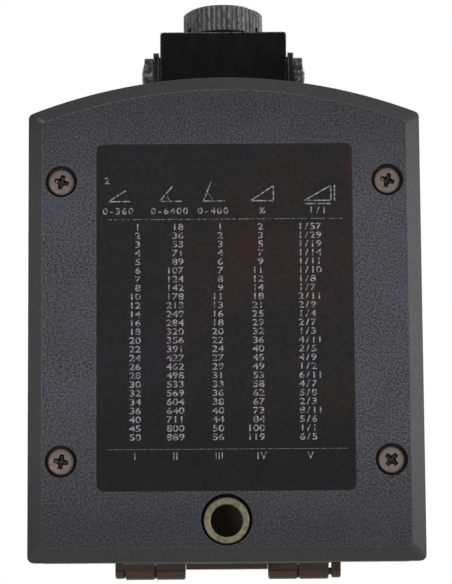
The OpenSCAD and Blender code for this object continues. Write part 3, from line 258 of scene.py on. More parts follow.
def enamel(name, colour, rough=0.16, shine=0.3, grime=0.3, edge=None, dust=None):
    """Smooth paint with faint smears. Colours can be given for edges, which paint chips and a highlight along
    them, and for dust on the upper faces.
    """
    look = Look(name, colour, rough=rough, shine=shine)
    smear = look.noise(0.35, 4, 0.6, (1, 0.35, 1))
    tone = look.mix(look.span(smear, 0.45, 0.75, 0, grime), colour, toned(colour, 1, 0.012))
    if dust is not None:
        up = look.span(look.axis("Z", look.add("ShaderNodeNewGeometry").outputs["Normal"]), -0.6, 0.9)
        settled = look.span(look.noise(1.3, 4, 0.7), 0.35, 0.7, 0.35, 1)
        tone = look.mix(look.math("MULTIPLY", up, settled), tone, dust)
    if edge is not None:
        # The edge colour is partly chipped paint and partly a painted highlight along the rounded edges.
        edge_chips_and_glints = look.span(look.noise(2.1, 3, 0.6), 0.42, 0.58, 0.15, 1)
        tone = look.mix(look.math("MULTIPLY", look.edges(0.4, 0.005, 0.12), edge_chips_and_glints), tone, edge)
    look.put("Base Color", tone)
    look.put("Roughness", look.span(smear, 0.3, 0.75, rough * 0.7, rough * 1.8))
    look.bump(look.noise(1.2, 2, 0.5), 0.01, 0.25, look.rounding(0.2))
    return look.mat


def rubber(name, colour):
    """Dull rubber with a fine pale bloom."""
    look = Look(name, colour, rough=0.8, shine=0.3)
    fine = look.noise(3.0, 3, 0.6)
    look.put("Base Color", look.mix(look.span(fine, 0.4, 0.7), colour, toned(colour, 1.8)))
    look.bump(fine, 0.03, 0.4, look.rounding(0.1))
    return look.mat


def ink(name, colour, faded, high=0.6):
    """Printed figures, faded in places. A greater high fades less of them."""
    look = Look(name, colour, rough=0.6, shine=0.2)
    look.put("Base Color", look.mix(look.span(look.noise(1.6, 3, 0.6), 0.4, high), colour, faded))
    return look.mat


def pane(name, tint, gloss=True, index=1.3, least=0.025, sheen=(1, 1, 1, 1)):
    """Coated glass: clear, and where glossy, with a reflection where Fresnel's share is over least."""
    look = Look(name, tint, rough=0.02)
    if not gloss:
        look.feed(look.surface, look.clear(tint))
        return look.mat
    mirror = look.add("ShaderNodeBsdfGlossy")
    mirror.inputs["Roughness"].default_value = 0.02
    mirror.inputs["Color"].default_value = sheen
    bend = look.add("ShaderNodeFresnel")
    bend.inputs["IOR"].default_value = index
    front = look.math("SUBTRACT", 1, look.back_side())
    share = look.math("MULTIPLY", look.span(bend.outputs[0], least, 0.6, 0, 0.6), front)
    look.blend(share, look.clear(tint), mirror.outputs[0])
    return look.mat


def pointer_look():
    """Red slope pointer with a dark weight, whose rim is red too."""
    red = srgb(205, 52, 24)
    look = Look("pointer_red", red, rough=0.35, shine=0.3)
    radius = look.vector("LENGTH", look.vector("MULTIPLY", look.mm, (1, 1, 0)))
    weight = look.math("MULTIPLY", look.span(radius, 11.5, 11.6, 1, 0), look.span(radius, 3.2, 3.3))
    worn = look.mix(look.span(look.noise(0.6, 4, 0.6), 0.35, 0.65), srgb(40, 40, 42), srgb(62, 62, 64))
    look.put("Base Color", look.mix(weight, red, worn))
    look.bump(look.noise(2, 3, 0.6), 0.01, 0.4, look.rounding(0.1))
    return look.mat


def plate_look():
    """Dark printed plate, darker towards the socket, with faint warm clouds and dust, and pale edges that are
    partly rubbed and partly a painted highlight.
    """
    look = Look("table_print", srgb(31, 31, 32), rough=0.4, shine=0.1)
    warm = look.span(look.noise(0.05, 3, 0.55), 0.45, 0.66)
    across = look.span(look.axis("X"), -14, 10, 0.1, 1)
    cool = look.span(look.noise(0.08, 2, 0.5), 0.45, 0.7, 0, 0.7)
    tone = look.mix(cool, srgb(26, 26, 26), srgb(26, 27, 32))
    up = look.span(look.axis("Y"), 8, 20, 1, 0.15)
    clouds = look.math("MULTIPLY", look.math("MULTIPLY", warm, across), up)
    tone = look.mix(clouds, tone, srgb(44, 28, 27))
    dust = look.span(look.noise(1.3, 4, 0.7), 0.45, 0.75, 0, 0.36)
    tone = look.mix(dust, tone, srgb(56, 54, 56))
    tone = look.mix(look.span(look.axis("Y"), 10, 22, 0, 0.6), tone, srgb(17, 17, 18))
    # rim: pale edge colour, partly wear and partly a painted highlight.
    rim = look.math("MULTIPLY", look.edges(0.2), 0.5)
    look.put("Base Color", look.mix(rim, tone, srgb(78, 76, 78)))
    look.put("Roughness", look.span(look.noise(0.3, 3, 0.6), 0.3, 0.7, 0.25, 0.5))
    look.bump(look.noise(1.5, 2, 0.5), 0.01, 0.3, look.rounding(0.15))
    return look.mat


def knurl_look():
    """Black ring with light streaks along the axis and bright ragged crests, partly wear and partly painted
    highlight.
    """
    look = Look("knurl_worn", srgb(64, 64, 64), rough=0.45, metal=0.3, shine=0.2)
    arm = look.vector("SUBTRACT", look.mm, OPTIC)
    along = look.vector("DOT_PRODUCT", arm, OPTIC_OUT)
    out = look.vector("SUBTRACT", arm, look.vector("SCALE", OPTIC_OUT, factor=along))
    radius = look.vector("LENGTH", out)
    crest = look.span(radius, 6.78, 6.98)
    # The streaks and the bright crests are partly wear and partly painted highlight.
    streak = look.noise(1.5, 4, 0.65, (1, 0.14, 1))
    ragged = look.noise(2.2, 3, 0.7, (1, 0.4, 1))
    rub = look.math("MULTIPLY", crest, look.span(ragged, 0.46, 0.58))
    tone = look.mix(look.span(streak, 0.38, 0.6), srgb(57, 57, 57), srgb(90, 90, 90))
    tone = look.mix(rub, tone, srgb(113, 113, 113))
    look.put("Base Color", look.mix(look.span(radius, 6.7, 6.82, 0.2, 0), tone, srgb(42, 42, 42)))
    look.put("Roughness", look.span(streak, 0.35, 0.65, 0.5, 0.3))
    look.bump(look.noise(3, 3, 0.6, (1, 0.2, 1)), 0.02, 0.5, look.rounding(0.08))
    return look.mat


def bush_look():
    """Aged brass, lighter along its edges: partly wear and partly a painted highlight."""
    look = Look("bush_brass", srgb(112, 102, 84), rough=0.4, metal=0.5)
    fine = look.noise(1.6, 4, 0.65)
    tone = look.mix(look.span(fine, 0.35, 0.65), srgb(81, 75, 58), srgb(115, 108, 88))
    # The light edge colour is partly wear and partly a painted highlight.
    rub = look.math("MULTIPLY", look.edges(0.14), look.span(fine, 0.4, 0.6, 0.2, 1))
    look.put("Base Color", look.mix(rub, tone, srgb(186, 178, 156)))
    look.put("Roughness", look.span(fine, 0.3, 0.7, 0.3, 0.5))
    look.bump(fine, 0.015, 0.5, look.rounding(0.12))
    return look.mat


COVER = cover_look()
BODY = body_look()
HINGE_METAL = worn_metal("hinge_bronze", srgb(57, 45, 33), srgb(86, 71, 54), rough=0.4, metal=0.5,
                         radius=0.14, streak=(0.2, 1.2, 1.2), dirt=srgb(34, 27, 20))
# The pivot screw heads get a painted highlight along their edges.
LUG_SCREW = enamel("lug_screw", srgb(18, 18, 18), rough=0.25, shine=0.1, edge=srgb(124, 124, 124))
GRUB = enamel("grub_screw", srgb(58, 58, 58), rough=0.5, shine=0.1)
STEEL = worn_metal("bright_steel", srgb(150, 150, 152), srgb(225, 225, 225))
BRASS = worn_metal("plain_brass", srgb(186, 156, 98), srgb(225, 205, 150))
SCREW = worn_metal("screw_bronze", srgb(106, 94, 90), srgb(146, 134, 126), rough=0.44, metal=0.6, radius=0.1,
                   dirt=srgb(78, 67, 63))
# Faces inside the cross recesses: darkened as painted shade of the recess.
RECESS = worn_metal("screw_recess", srgb(34, 28, 27), srgb(110, 100, 94), rough=0.4, metal=0.5, radius=0.06,
                    dirt=srgb(14, 12, 12))
# Eyepiece block and bracket: their edge colours are partly chips and partly a painted highlight along the
# rounded edges.
BLACK = enamel("eyepiece_black", srgb(8, 8, 8), rough=0.1, shine=0.06, edge=srgb(140, 140, 140),
               dust=srgb(36, 36, 37))
BRACKET = enamel("bracket_black", srgb(14, 14, 14), rough=0.3, shine=0.12, edge=srgb(110, 110, 110),
                 dust=srgb(44, 44, 45))
SATIN = enamel("bezel_black", srgb(32, 32, 34), rough=0.35, shine=0.4)
CELL = enamel("cell_black", srgb(22, 22, 23), rough=0.45, shine=0.3)
CUP = enamel("cup_paint", srgb(74, 74, 76), rough=0.7, shine=0.12, grime=0.1)
RUBBER = rubber("black_rubber", srgb(24, 24, 25))
GLASS = pane("clear_glass", (0.97, 0.985, 0.98, 1))
INNER_GLASS = pane("inner_glass", (0.97, 0.985, 0.98, 1), gloss=False)
LENS = pane("lens_glass", (0.82, 0.9, 0.94, 1), index=1.6, least=0, sheen=(0.5, 0.62, 0.95, 1))
VIAL = pane("vial_liquid", (0.72, 0.86, 0.3, 1))
MAGNET = worn_metal("magnet_metal", srgb(140, 140, 146), srgb(200, 200, 205))
JEWEL = enamel("jewel_red", srgb(150, 24, 40), rough=0.08, shine=0.5)
POINTER = pointer_look()
WHITE = enamel("scale_print", srgb(214, 212, 202), rough=0.4, shine=0.4)
CARD = enamel("card_print", srgb(20, 20, 21), rough=0.55, shine=0.2)
GLOW = ink("luminous", srgb(198, 222, 160), srgb(170, 200, 130))
PALE_INK = ink("pale_ink", srgb(154, 152, 156), srgb(56, 54, 58), high=0.62)
CLEAN_INK = ink("clean_ink", srgb(226, 226, 220), srgb(190, 190, 184))
DARK_INK = ink("dark_ink", srgb(20, 20, 22), srgb(44, 44, 46))
BUSH = bush_look()
BORE = enamel("bush_bore", srgb(92, 88, 76), rough=0.9, shine=0.05)
PLATE = plate_look()
KNURL = knurl_look()

NODES_OF_LOOKS = (
    (COVER, ("bottom_cover",)),
    (BODY, ("case_body", "lid_frame")),
    (PLATE, ("label_plate",)),
    (SCREW, ("cover_screws",)),
    (BUSH, ("tripod_bush",)),
    (RUBBER, ("cover_gasket", "capsule_seal", "lid_pads")),
    (WHITE, ("side_scale", "clinometer_scale")),
    (GLOW, ("index_dots", "bezel_index", "lid_dots")),
    (BRASS, ("level_cup", "clinometer_stud", "pointer_bush")),
    (VIAL, ("level_vial",)),
    (CUP, ("capsule_cup",)),
    (STEEL, ("capsule_screws", "pivot_post", "bezel_clip", "click_spring", "sight_wire", "eyepiece_spring",
             "spring_screw", "bracket_screws", "cap_screws")),
    (CARD, ("compass_card",)),
    (MAGNET, ("card_magnet",)),
    (JEWEL, ("card_jewel",)),
    (POINTER, ("clinometer_pointer",)),
    (INNER_GLASS, ("capsule_glass",)),
    (GLASS, ("bezel_glass", "prism_window")),
    (SATIN, ("capsule_ring", "bezel_ring", "glass_ring")),
    (HINGE_METAL, ("case_hinge_leaf", "case_leaf_screws", "hinge_pins", "lid_hinge_leaf", "lid_leaf_screws")),
    (LUG_SCREW, ("pivot_screws",)),
    (BLACK, ("eyepiece_housing", "prism_cap")),
    (BRACKET, ("eyepiece_bracket",)),
    (LENS, ("prism", "eyepiece_lens")),
    (CELL, ("lens_cell", "lens_ring")),
    (KNURL, ("focus_ring",)),
    (GRUB, ("focus_screws",)),
)
for look, nodes in NODES_OF_LOOKS:
    for node in nodes:
        slots = NODES[node].data.materials
        slots.clear()
        slots.append(look)


def link(name, data):
    obj = bpy.data.objects.new(name, data)
    bpy.context.scene.collection.objects.link(obj)
    return obj


def loose(name, points, faces):
    """An object from points in mm."""
    mesh = bpy.data.meshes.new(name)
    mesh.from_pydata([Vector(p) * MM for p in points], [], faces)
    return link(name, mesh)


def make(name, points, faces, look, body, slot, smooth=False):
    """A piece from points in mm, riding on a body."""
    obj = loose(name, points, faces)
    obj.data.materials.append(look)
    obj.data.polygons.foreach_set("use_smooth", [smooth] * len(obj.data.polygons))
    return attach(obj, body)


def glyph_shapes(characters):
    """Outline of each character as (points, faces, width), for a capital height of 1."""
    shapes = {}
    for mark in characters:
        text = bpy.data.curves.new("mark", "FONT")
        text.body, text.size, text.resolution_u, text.fill_mode, text.offset = mark, 1, 3, "FRONT", 0.01
        obj = link("mark", text)
        mesh = obj.evaluated_get(bpy.context.evaluated_depsgraph_get()).to_mesh()
        shapes[mark] = ([(v.co.x, v.co.y) for v in mesh.vertices], [tuple(p.vertices) for p in mesh.polygons])
        bpy.data.objects.remove(obj)
        bpy.data.curves.remove(text)
    tall = max(y for x, y in shapes["0"][0])
    sized = {}
    for mark, (points, faces) in shapes.items():
        left, right = min(x for x, y in points), max(x for x, y in points)
        sized[mark] = ([((x - left) / tall, y / tall) for x, y in points], faces, (right - left) / tall)
    return sized


GLYPHS = glyph_shapes("0123456789/%-NESWIV")


class Print:
    """Flat figures and lines, drawn in a plane and laid on a surface by place(x, y)."""

    def __init__(self, place):
        self.place, self.points, self.faces = place, [], []

    def shape(self, points, faces):
        start = len(self.points)
        self.points += [self.place(x, y) for x, y in points]
        self.faces += [[start + i for i in face] for face in faces]

    def bar(self, x0, y0, x1, y1):
        self.shape([(x0, y0), (x1, y0), (x1, y1), (x0, y1)], [(0, 1, 2, 3)])

    def line(self, points, width, closed=False):
        """A line of even width through points."""
        for a, b in zip(points, points[1:] + points[:1] if closed else points[1:]):
            a, b = Vector(a), Vector(b)
            along = (b - a).normalized() * width / 2
            side = Vector((-along.y, along.x))
            a, b = a - along * 0.5, b + along * 0.5
            self.shape([a - side, b - side, b + side, a + side], [(0, 1, 2, 3)])

    def text(self, words, x, y, height, wide=1.0, align=0.5, pitch=0.0, gap=0.16):
        """words with their middle height at y. align 0 starts at x, 0.5 is centred and 1 ends at x.

        Figures follow each other at an even pitch, or else by their widths and a gap, all in heights.
        """
        widths = [pitch or GLYPHS[c][2] * wide + gap for c in words]
        at = -sum(widths) * align
        for mark, step in zip(words, widths):
            points, faces, width = GLYPHS[mark]
            left = at + (step - width * wide) / 2
            placed = [(x + (left + px * wide) * height, y + (py - 0.5) * height) for px, py in points]
            self.shape(placed, faces)
            at += step

    def piece(self, name, look, body, slot):
        return make(name, self.points, self.faces, look, body, slot)


def polar(cx, cy, r, degrees):
    t = math.radians(degrees)
    return (cx + r * math.cos(t), cy + r * math.sin(t))


def arc(cx, cy, r, start, stop, steps=8):
    return [polar(cx, cy, r, start + (stop - start) * i / steps) for i in range(steps + 1)]


# The table on the back, seen from below with y up the picture. Its figures are worked out from the angles.
ANGLES = [*range(1, 9), *range(10, 37, 2), 40, 45, 50]
FIRST_ROW_Y, ROW_PITCH = 14.82, 1.447
FIGURE_H = 1.06
COLUMN_ENDS = (-13.85, -6.75, -0.25, 6.4)
RATIO_START = 12.0
HEAD_X = (-17.6, -9.1, -1.9, 6.2, 15.4)
HEAD_WORDS = ("0-360", "0-6400", "0-400", "%", "1/1")
HEAD_WORDS_Y, HEAD_FOOT_Y, HEAD_TOP_Y = 17.5, 19.1, 21.6
NUMERAL_X = (-14.9, -8.3, -1.15, 5.85, 13.75)
NUMERAL_Y, NUMERAL_H = -23, 1.15
THIN = 0.2

table = Print(lambda x, y: Vector((x, -y, -LIFT)))
for row, angle in enumerate(ANGLES):
    y = FIRST_ROW_Y - ROW_PITCH * row
    slope = math.tan(math.radians(angle))
    ratio = Fraction(slope).limit_denominator(12) if slope > 0.1 else Fraction(1, round(1 / slope))
    figures = (angle, round(angle * 6400 / 360), round(angle / 0.9), round(100 * slope))
    for x, figure in zip(COLUMN_ENDS, figures):
        table.text(str(figure), x, y, FIGURE_H, wide=1.32, align=1, pitch=0.94)
    words = f"{ratio.numerator}/{ratio.denominator}"
    table.text(words, RATIO_START, y, FIGURE_H, wide=1.3, align=0, pitch=0.94)
for x, words in zip(HEAD_X, HEAD_WORDS):
    table.text(words, x, HEAD_WORDS_Y, FIGURE_H, wide=1.15, pitch=1.0)
for x, words in zip(NUMERAL_X, ("I", "II", "III", "IV", "V")):
    table.text(words, x, NUMERAL_Y, NUMERAL_H, gap=0.26)
table.text("2", -19.4, 22.6, FIGURE_H, wide=1.2)

# Its rules: a whole one below, and one in worn dashes under the heads.
DASHES, DASH_PITCH = 40, 0.976
table.bar(-19.3, -21.925, 19.75, -21.875)
for i in range(DASHES):
    start = -19.2 + i * DASH_PITCH
    table.bar(start, 16.04, start + (0.88 if i % 3 else 0.6), 16.11)

# The heads of its columns: three angles of these openings, a slope triangle and one with its sides marked.
ARM, ARC_R = 3.4, 1.5
for x, opening in zip(HEAD_X[:3], (32, 50, 68)):
    foot = (x - 1.6, HEAD_FOOT_Y)
    table.line([(x + 2.0, HEAD_FOOT_Y), foot, polar(*foot, ARM, opening)], THIN)
    table.line(arc(*foot, ARC_R, 0, opening), THIN)
for x, base in zip(HEAD_X[3:], (3.8, 4.4)):
    left, right, top = (x - base / 2, HEAD_FOOT_Y), (x + base / 2, HEAD_FOOT_Y), (x + base / 2, HEAD_TOP_Y)
    table.line([left, right, top], THIN)
    table.line([left, top], THIN)
table.line([(HEAD_X[4] + 2.8, HEAD_FOOT_Y), (HEAD_X[4] + 2.8, HEAD_TOP_Y)], THIN)
table.line([(HEAD_X[4] - 2.2, 18.55), (HEAD_X[4] + 2.2, 18.55)], THIN)
table.piece("table_figures", PALE_INK, "case", "table_print")


def circle(r, z, steps, centre=(0, 0, 0)):
    turns = [2 * math.pi * i / steps for i in range(steps)]
    return [(centre[0] + r * math.cos(t), centre[1] + r * math.sin(t), centre[2] + z) for t in turns]


def lathe(profile, steps=48, centre=(0, 0, 0), closed=False):
    """Points and faces of a profile of (radius, z) turned round Z. A radius of 0 closes an end."""
    points, rings = [], []
    for r, z in profile:
        if r == 0:
            rings.append([len(points)] * steps)
            points.append((centre[0], centre[1], centre[2] + z))
        else:
            rings.append(list(range(len(points), len(points) + steps)))
            points += circle(r, z, steps, centre)
    faces = []
    for low, high in zip(rings, rings[1:] + rings[:1] if closed else rings[1:]):
        for i in range(steps):
            j = (i + 1) % steps
            faces.append(list(dict.fromkeys([low[i], low[j], high[j], high[i]])))
    return points, faces


def stacked(layers, n):
    """Faces of a closed stack of outlines, each of n points."""
    last = (layers - 1) * n
    faces = [[k + i, k + (i + 1) % n, k + n + (i + 1) % n, k + n + i]
             for k in range(0, last, n) for i in range(n)]
    return faces + [list(range(n))[::-1], list(range(last, last + n))]


def turned_over(faces):
    return [face[::-1] for face in faces]


def carve(obj, tool):
    """Cuts tool out of obj and applies the result."""
    cutter = obj.modifiers.new("cut", "BOOLEAN")
    cutter.operation, cutter.solver, cutter.object = "DIFFERENCE", "EXACT", tool
    mesh = bpy.data.meshes.new_from_object(obj.evaluated_get(bpy.context.evaluated_depsgraph_get()))
    obj.modifiers.clear()
    mesh.name = obj.name
    obj.data = mesh
    bpy.data.objects.remove(tool)


def cross_tool(x, y, z, turn, wing, slit, depth):
    """Tapered cross recess that opens towards -Z."""
    quarter = (Vector((wing, -slit / 2)), Vector((wing, slit / 2)), Vector((slit * 0.68, slit * 0.68)))
    outline = [Matrix.Rotation(math.radians(90 * k + turn), 2) @ p for k in range(4) for p in quarter]
    layers = ((-0.3, 1.06), (0, 1.0), (depth * 0.6, 0.82), (depth, 0.35))
    points = [(x + p.x * s, y + p.y * s, z + h) for h, s in layers for p in outline]
    return points, stacked(len(layers), len(outline))


# Cover screws: crowned heads with a rounded edge and a tapered cross recess.
SCREW_X, SCREW_Y, SCREW_MIDDLE_Y = 27, 23.15, 0.6
SCREW_TURNS = {(1, 1): 43, (1, -1): 17, (-1, 1): 10, (-1, -1): 15}
HEAD_R, CROWN_Z, HEAD_TOP_Z, SHANK_R, TIP_Z = 2.225, 0.70, 1.9, 1.0, 11.0
HEAD_PROFILE = [(0, CROWN_Z), (1.2, CROWN_Z), (1.76, 0.73), (2.07, 0.80), (2.19, 0.90), (HEAD_R, 1.02),
                (HEAD_R, HEAD_TOP_Z), (SHANK_R, HEAD_TOP_Z), (SHANK_R, TIP_Z - 0.2), (0.8, TIP_Z), (0, TIP_Z)]
joined = bmesh.new()
for (side, end), turn in SCREW_TURNS.items():
    x, y = side * SCREW_X, SCREW_MIDDLE_Y + end * SCREW_Y
    points, faces = lathe(HEAD_PROFILE, 56, (x, y, 0))
    screw = loose("screw", points, turned_over(faces))
    carve(screw, loose("tool", *cross_tool(x, y, CROWN_Z, turn, 1.22, 0.68, 0.95)))
    # Faces inside the cross recess take the RECESS look, which is painted shade.
    for face in screw.data.polygons:
        middle = face.center / MM
        inside = (middle.xy - Vector((x, y))).length < 1.45 and 0.72 < middle.z < 1.85
        face.material_index = int(inside)
    joined.from_mesh(screw.data)
    bpy.data.objects.remove(screw)
cover_screws = loose("cover_screws_detailed", [], [])
mesh = cover_screws.data
joined.to_mesh(mesh)
joined.free()
for look in (SCREW, RECESS):
    mesh.materials.append(look)
mesh.shade_smooth()
mesh.set_sharp_from_angle(angle=math.radians(35))
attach(cover_screws, "case")
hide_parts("cover_screws")


THREAD_PITCH, THREAD_DEPTH, THREAD_END = 1.27, 0.5, 8.3
BORE_R, BUSH_R, BUSH_L = 2.64, 3.8, 9.3


def thread_bush():
    """Bush with a chamfered mouth and a helical thread that fades out at the bore's end."""
    steps, layers, start = 72, 46, 0.12
    mouth = [(BUSH_R, BUSH_L), (BUSH_R, 0.22), (BUSH_R - 0.18, 0.04), (BUSH_R - 0.34, 0.0), (2.76, 0.0),
             (2.67, 0.06)]
    points = [p for r, z in mouth for p in circle(r, z, steps)]
    for k in range(layers + 1):
        z = start + (THREAD_END - start) * k / layers
        for i in range(steps):
            t = i / steps
            wave = abs(((z / THREAD_PITCH - t) % 1) * 2 - 1)
            depth = THREAD_DEPTH * min(1, max(0, wave * 1.35 - 0.2))
            if z < 0.5:
                depth = max(depth, 0.02 * (0.5 - z) / 0.38)
            if z > THREAD_END - 0.6:
                depth *= (THREAD_END - z) / 0.6
            r = BORE_R + depth
            points.append((r * math.cos(2 * math.pi * t), r * math.sin(2 * math.pi * t), z))
    return [Vector(p) + SOCKET for p in points], turned_over(stacked(len(mouth) + layers + 1, steps))


bush = make("tripod_bush_detailed", *thread_bush(), BUSH, "case", "bush_brass", smooth=True)
bush.data.materials.append(BORE)
for face in bush.data.polygons:
    middle = face.center / MM - SOCKET
    face.material_index = int(middle.xy.length < 3.3 and middle.z > 0.08)
bush.data.set_sharp_from_angle(angle=math.radians(30))
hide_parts("tripod_bush")


def tilted(x, y, z):
    """Place on the folded eyepiece, from its pivot, with y along the optical axis."""
    sine, cosine = OPTIC_OUT.z, -OPTIC_OUT.y
    return Vector((x, PIVOT.y + y * cosine + z * sine, PIVOT.z - y * sine + z * cosine))


def washer(name, x, middle, bore_r, r, thick, steps):
    """Flat washer whose axis is X, with its nearer face at x."""
    points, faces = lathe([(bore_r, 0), (r, 0), (r, thick), (bore_r, thick)], steps, closed=True)
    points = [(x + pz, middle.y + px, middle.z + py) for px, py, pz in points]
    make(name, points, faces, BRACKET, "case", "bracket_black")


# Thin washers between the lugs and the arms, and shims between the arms and the block.
SHIM_T = 0.13
SHIM_SIDES = [(0, 1, 3, 2), (4, 6, 7, 5), (0, 4, 5, 1), (2, 3, 7, 6), (0, 2, 6, 4), (1, 5, 7, 3)]
for name, washer_x, shim_x in (("right", 12.11, 11.01), ("left", -12.24, -11.14)):
    washer(f"pivot_washer_{name}", washer_x, PIVOT, 1.3, 3.1, SHIM_T, 48)
    corners = [tilted(shim_x + x, y, z) for x in (0, SHIM_T) for y in (-3.7, 5) for z in (0.7, 3.5)]
    make(f"block_shim_{name}", corners, SHIM_SIDES, BRACKET, "eyepiece", "bracket_black")

# Lips of the case's leaf that reach under the lid's knuckles, and thin washers between the knuckles.
LIP_R, LIP_Z, LIP_START, LIP_END = 1.38, 17.6, 7.06, 12.02
WALL_Y, LIP_TIP_Y = 40.01, 41.2
under = [PIN - LIP_R * Vector((0, math.cos(t), math.sin(t))) for t in map(math.radians, range(77, 0, -8))]
LIP = [Vector((0, WALL_Y, LIP_Z)), Vector((0, LIP_TIP_Y, LIP_Z)), *under, Vector((0, WALL_Y, under[-1].z))]
lip_faces = stacked(2, len(LIP))
for name, side in (("right", 1), ("left", -1)):
    points = [p + Vector((x * side, 0, 0)) for x in (LIP_START, LIP_END) for p in LIP]
    faces = lip_faces if side > 0 else turned_over(lip_faces)
    make(f"leaf_lip_{name}", points, faces, HINGE_METAL, "case", "hinge_bronze")
    washer(f"knuckle_washer_{name}", 12.05 if side > 0 else -12.15, PIN, PIN_BORE_R, 1.15, 0.1, 32)


def ring_place(z, start=0.0, rise=0.0):
    """Place on a ring at height z, which may rise outwards from the radius start by rise to a mm.

    x is an angle clockwise from +Y in degrees and y a radius.
    """
    def place(angle, radius):
        return Vector((*polar(0, 0, radius, 90 - angle), z + (radius - start) * rise + LIFT))
    return place


class RingPrint(Print):
    """Print round a ring: ticks and upright figures at an angle and a radius."""

    def tick(self, angle, low, high, width):
        half = math.degrees(width / (low + high))
        self.bar(angle - half, low, angle + half, high)

    def figure(self, words, angle, radius, height):
        flat = Print(lambda x, y: Vector((x, y)))
        flat.text(words, 0, 0, height)
        scale = math.degrees(1 / radius)
        self.shape([(angle + p.x * scale, radius + p.y) for p in flat.points], flat.faces)


# Compass card: ticks, figures, cardinal letters, a luminous north arrow and a rose.
card = RingPrint(ring_place(CARD_TOP))
for angle in range(0, 360, 2):
    tens = angle % 10 == 0
    card.tick(angle, 18.3 if tens else 19.2, 20.1, 0.16 if tens else 0.1)
for angle in range(0, 360, 20):
    if angle % 90:
        card.figure(str(angle), angle, 17.2, 1.25)
for letter, angle in zip("ESW", (90, 180, 270)):
    card.figure(letter, angle, 14.4, 2.6)
for k in range(8):
    card.tick(45 * k + 22.5, 9.5, 12.0, 0.12)
card.piece("card_figures", CLEAN_INK, "card", "card_print")
glow = RingPrint(ring_place(CARD_TOP))
glow.shape([(-8, 12.8), (0, 18.0), (8, 12.8), (0, 13.6)], [(3, 2, 1), (3, 1, 0)])
glow.figure("N", 0, 10.6, 2.6)
for angle in (90, 180, 270):
    glow.tick(angle, 16.4, 17.8, 0.7)
glow.piece("card_luminous", GLOW, "card", "luminous")
rose = RingPrint(ring_place(CARD_TOP))
for k in range(4):
    rose.shape([(90 * k - 45, 2.3), (90 * k, 8.6), (90 * k, 2.0)], [(0, 2, 1)])
rose.piece("card_rose", CLEAN_INK, "card", "card_print")

# Slope scale round the card, in degrees from level.
slope_scale = RingPrint(ring_place(SLOPE_SCALE_TOP))
for angle in range(0, 360, 2):
    tens = angle % 10 == 0
    slope_scale.tick(angle, 21.1, 22.4 if tens else 21.6, 0.16 if tens else 0.09)
for angle in range(0, 360, 10):
    slope = min(angle % 180, 180 - angle % 180)
    slope_scale.figure(str(slope), angle, 22.95, 0.85)
slope_scale.piece("slope_scale_figures", DARK_INK, "case", "scale_print")

# Bezel: figures every 20 degrees on the sloped top, ticks every 5.
bezel_rise = (BEZEL_CREST_Z - BEZEL_RIM_Z) / (BEZEL_CREST_R - BEZEL_RIM_R)
bezel = RingPrint(ring_place(BEZEL_RIM_Z, BEZEL_RIM_R, bezel_rise))
for angle in range(0, 360, 5):
    if angle % 20:
        bezel.tick(angle, 26.5 if angle % 10 else 26.3, 27.6, 0.18)
for angle in range(0, 360, 20):
    bezel.figure(str(angle), angle, 27.05, 1.25)
bezel.piece("bezel_figures", CLEAN_INK, "bezel", "bezel_black")

# Rule on the right-hand side.
rule = Print(lambda x, y: Vector((RULE_X + LIFT, x, y)))
for i in range(61):
    at = RULE_START + i
    top = 10.9 if i % 10 == 0 else 10.2 if i % 5 == 0 else 9.6
    rule.bar(at - 0.06, 8.6, at + 0.06, top)
for i in range(7):
    rule.text(str(i), RULE_START + 10 * i, 12.15, 1.5)
rule.piece("side_scale_figures", DARK_INK, "case", "scale_print")

# Level: centre ring, and a bubble drawn as a pale opaque solid whose pale colour is a painted highlight.
level = Print(lambda x, y: Vector((LEVEL.x + x, LEVEL.y + y, LEVEL.z + 0.005)))
level.line(arc(0, 0, 1.25, 0, 345, 23), 0.14, closed=True)
level.piece("level_ring_mark", DARK_INK, "case", "scale_print")
BUBBLE = [(0, -0.55), (0.5, -0.45), (0.85, -0.22), (0.95, -0.1), (0.85, -0.04), (0, -0.02)]
points, faces = lathe(BUBBLE, 32, (LEVEL.x + 0.15, LEVEL.y - 0.1, LEVEL.z))
make("level_bubble", points, faces, GLOW, "case", "luminous", smooth=True)

# Camera at the photograph's view.
CAMERA_AT = Vector((-0.79, 47.46, -391.36))
CAMERA_RIGHT = Vector((0.99997382, 0.00708658, -0.00145934))
CAMERA_DOWN = Vector((-0.0068363, 0.99146607, 0.13018566))
CAMERA_IN = Vector((0.00236946, -0.13017227, 0.99148856))
FOCAL_PX, SENSOR, PICTURE_HIGH = 2400, 36, 584
camera_data = bpy.data.cameras.new("camera")
camera_data.sensor_fit, camera_data.sensor_height = "VERTICAL", SENSOR
camera_data.lens = SENSOR * FOCAL_PX / PICTURE_HIGH
camera_data.clip_start, camera_data.clip_end = 0.01, 10
camera = link("camera", camera_data)
turned = Matrix((CAMERA_RIGHT, -CAMERA_DOWN, -CAMERA_IN)).transposed().to_4x4()
camera.matrix_world = Matrix.Translation(CAMERA_AT * MM) @ turned
bpy.context.scene.camera = camera


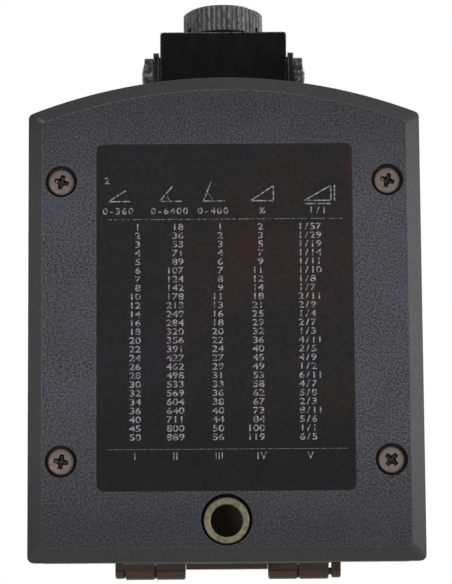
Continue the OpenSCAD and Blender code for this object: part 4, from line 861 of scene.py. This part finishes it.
def floor():
    """Pale floor that fades into the backdrop. It is clear from below, so that the back shows."""
    half, drop, fade_start, fade_end = 1500, 0.03, 220, 700
    corners = [(-half, -half, 0), (half, -half, 0), (half, half, 0), (-half, half, 0)]
    obj = loose("floor", corners, [(0, 1, 2, 3)])
    look = Look("floor", srgb(236, 236, 236), rough=0.9, shine=0.1)
    far = look.span(look.vector("LENGTH", look.mm), fade_start, fade_end)
    look.blend(look.math("MAXIMUM", look.back_side(), far), look.shader.outputs[0], look.clear())
    obj.data.materials.append(look.mat)
    obj.location.z = -drop * MM
    obj.visible_shadow = obj.visible_diffuse = obj.visible_glossy = obj.visible_transmission = False


def lamp(name, place, size, power):
    """Square area lamp that faces the part, placed in metres."""
    data = bpy.data.lights.new(name, "AREA")
    data.shape, data.size, data.energy = "SQUARE", size, power
    obj = link(name, data)
    facing = (-Vector(place)).to_track_quat("-Z", "Y").to_matrix().to_4x4()
    obj.matrix_world = Matrix.Translation(place) @ facing


def white_world(ambient):
    """White to the camera and in reflections, ambient for everything else."""
    world = bpy.data.worlds.new("world")
    bpy.context.scene.world = world
    world.use_nodes = True
    nodes, links = world.node_tree.nodes, world.node_tree.links
    path = nodes.new("ShaderNodeLightPath")
    seen = nodes.new("ShaderNodeMath")
    more = nodes.new("ShaderNodeMath")
    level = nodes.new("ShaderNodeMapRange")
    for node, a, b in ((seen, path.outputs["Is Camera Ray"], path.outputs["Is Glossy Ray"]),
                       (more, seen.outputs[0], path.outputs["Is Transmission Ray"])):
        node.operation = "MAXIMUM"
        links.new(a, node.inputs[0])
        links.new(b, node.inputs[1])
    links.new(more.outputs[0], level.inputs[0])
    level.inputs["To Min"].default_value, level.inputs["To Max"].default_value = ambient, 1
    links.new(level.outputs[0], nodes["Background"].inputs["Strength"])
    nodes["Background"].inputs["Color"].default_value = (1, 1, 1, 1)


floor()
white_world(0.42)
lamp("below_right", (0.5, -0.06, -0.33), 0.2, 2.7)
lamp("below_left", (-0.3, 0.14, -0.48), 0.3, 0.95)
lamp("above_key", (0.35, -0.45, 0.6), 0.4, 3.6)
lamp("above_fill", (-0.5, 0.35, 0.5), 0.5, 1.8)
bpy.context.scene.view_settings.view_transform = "Standard"
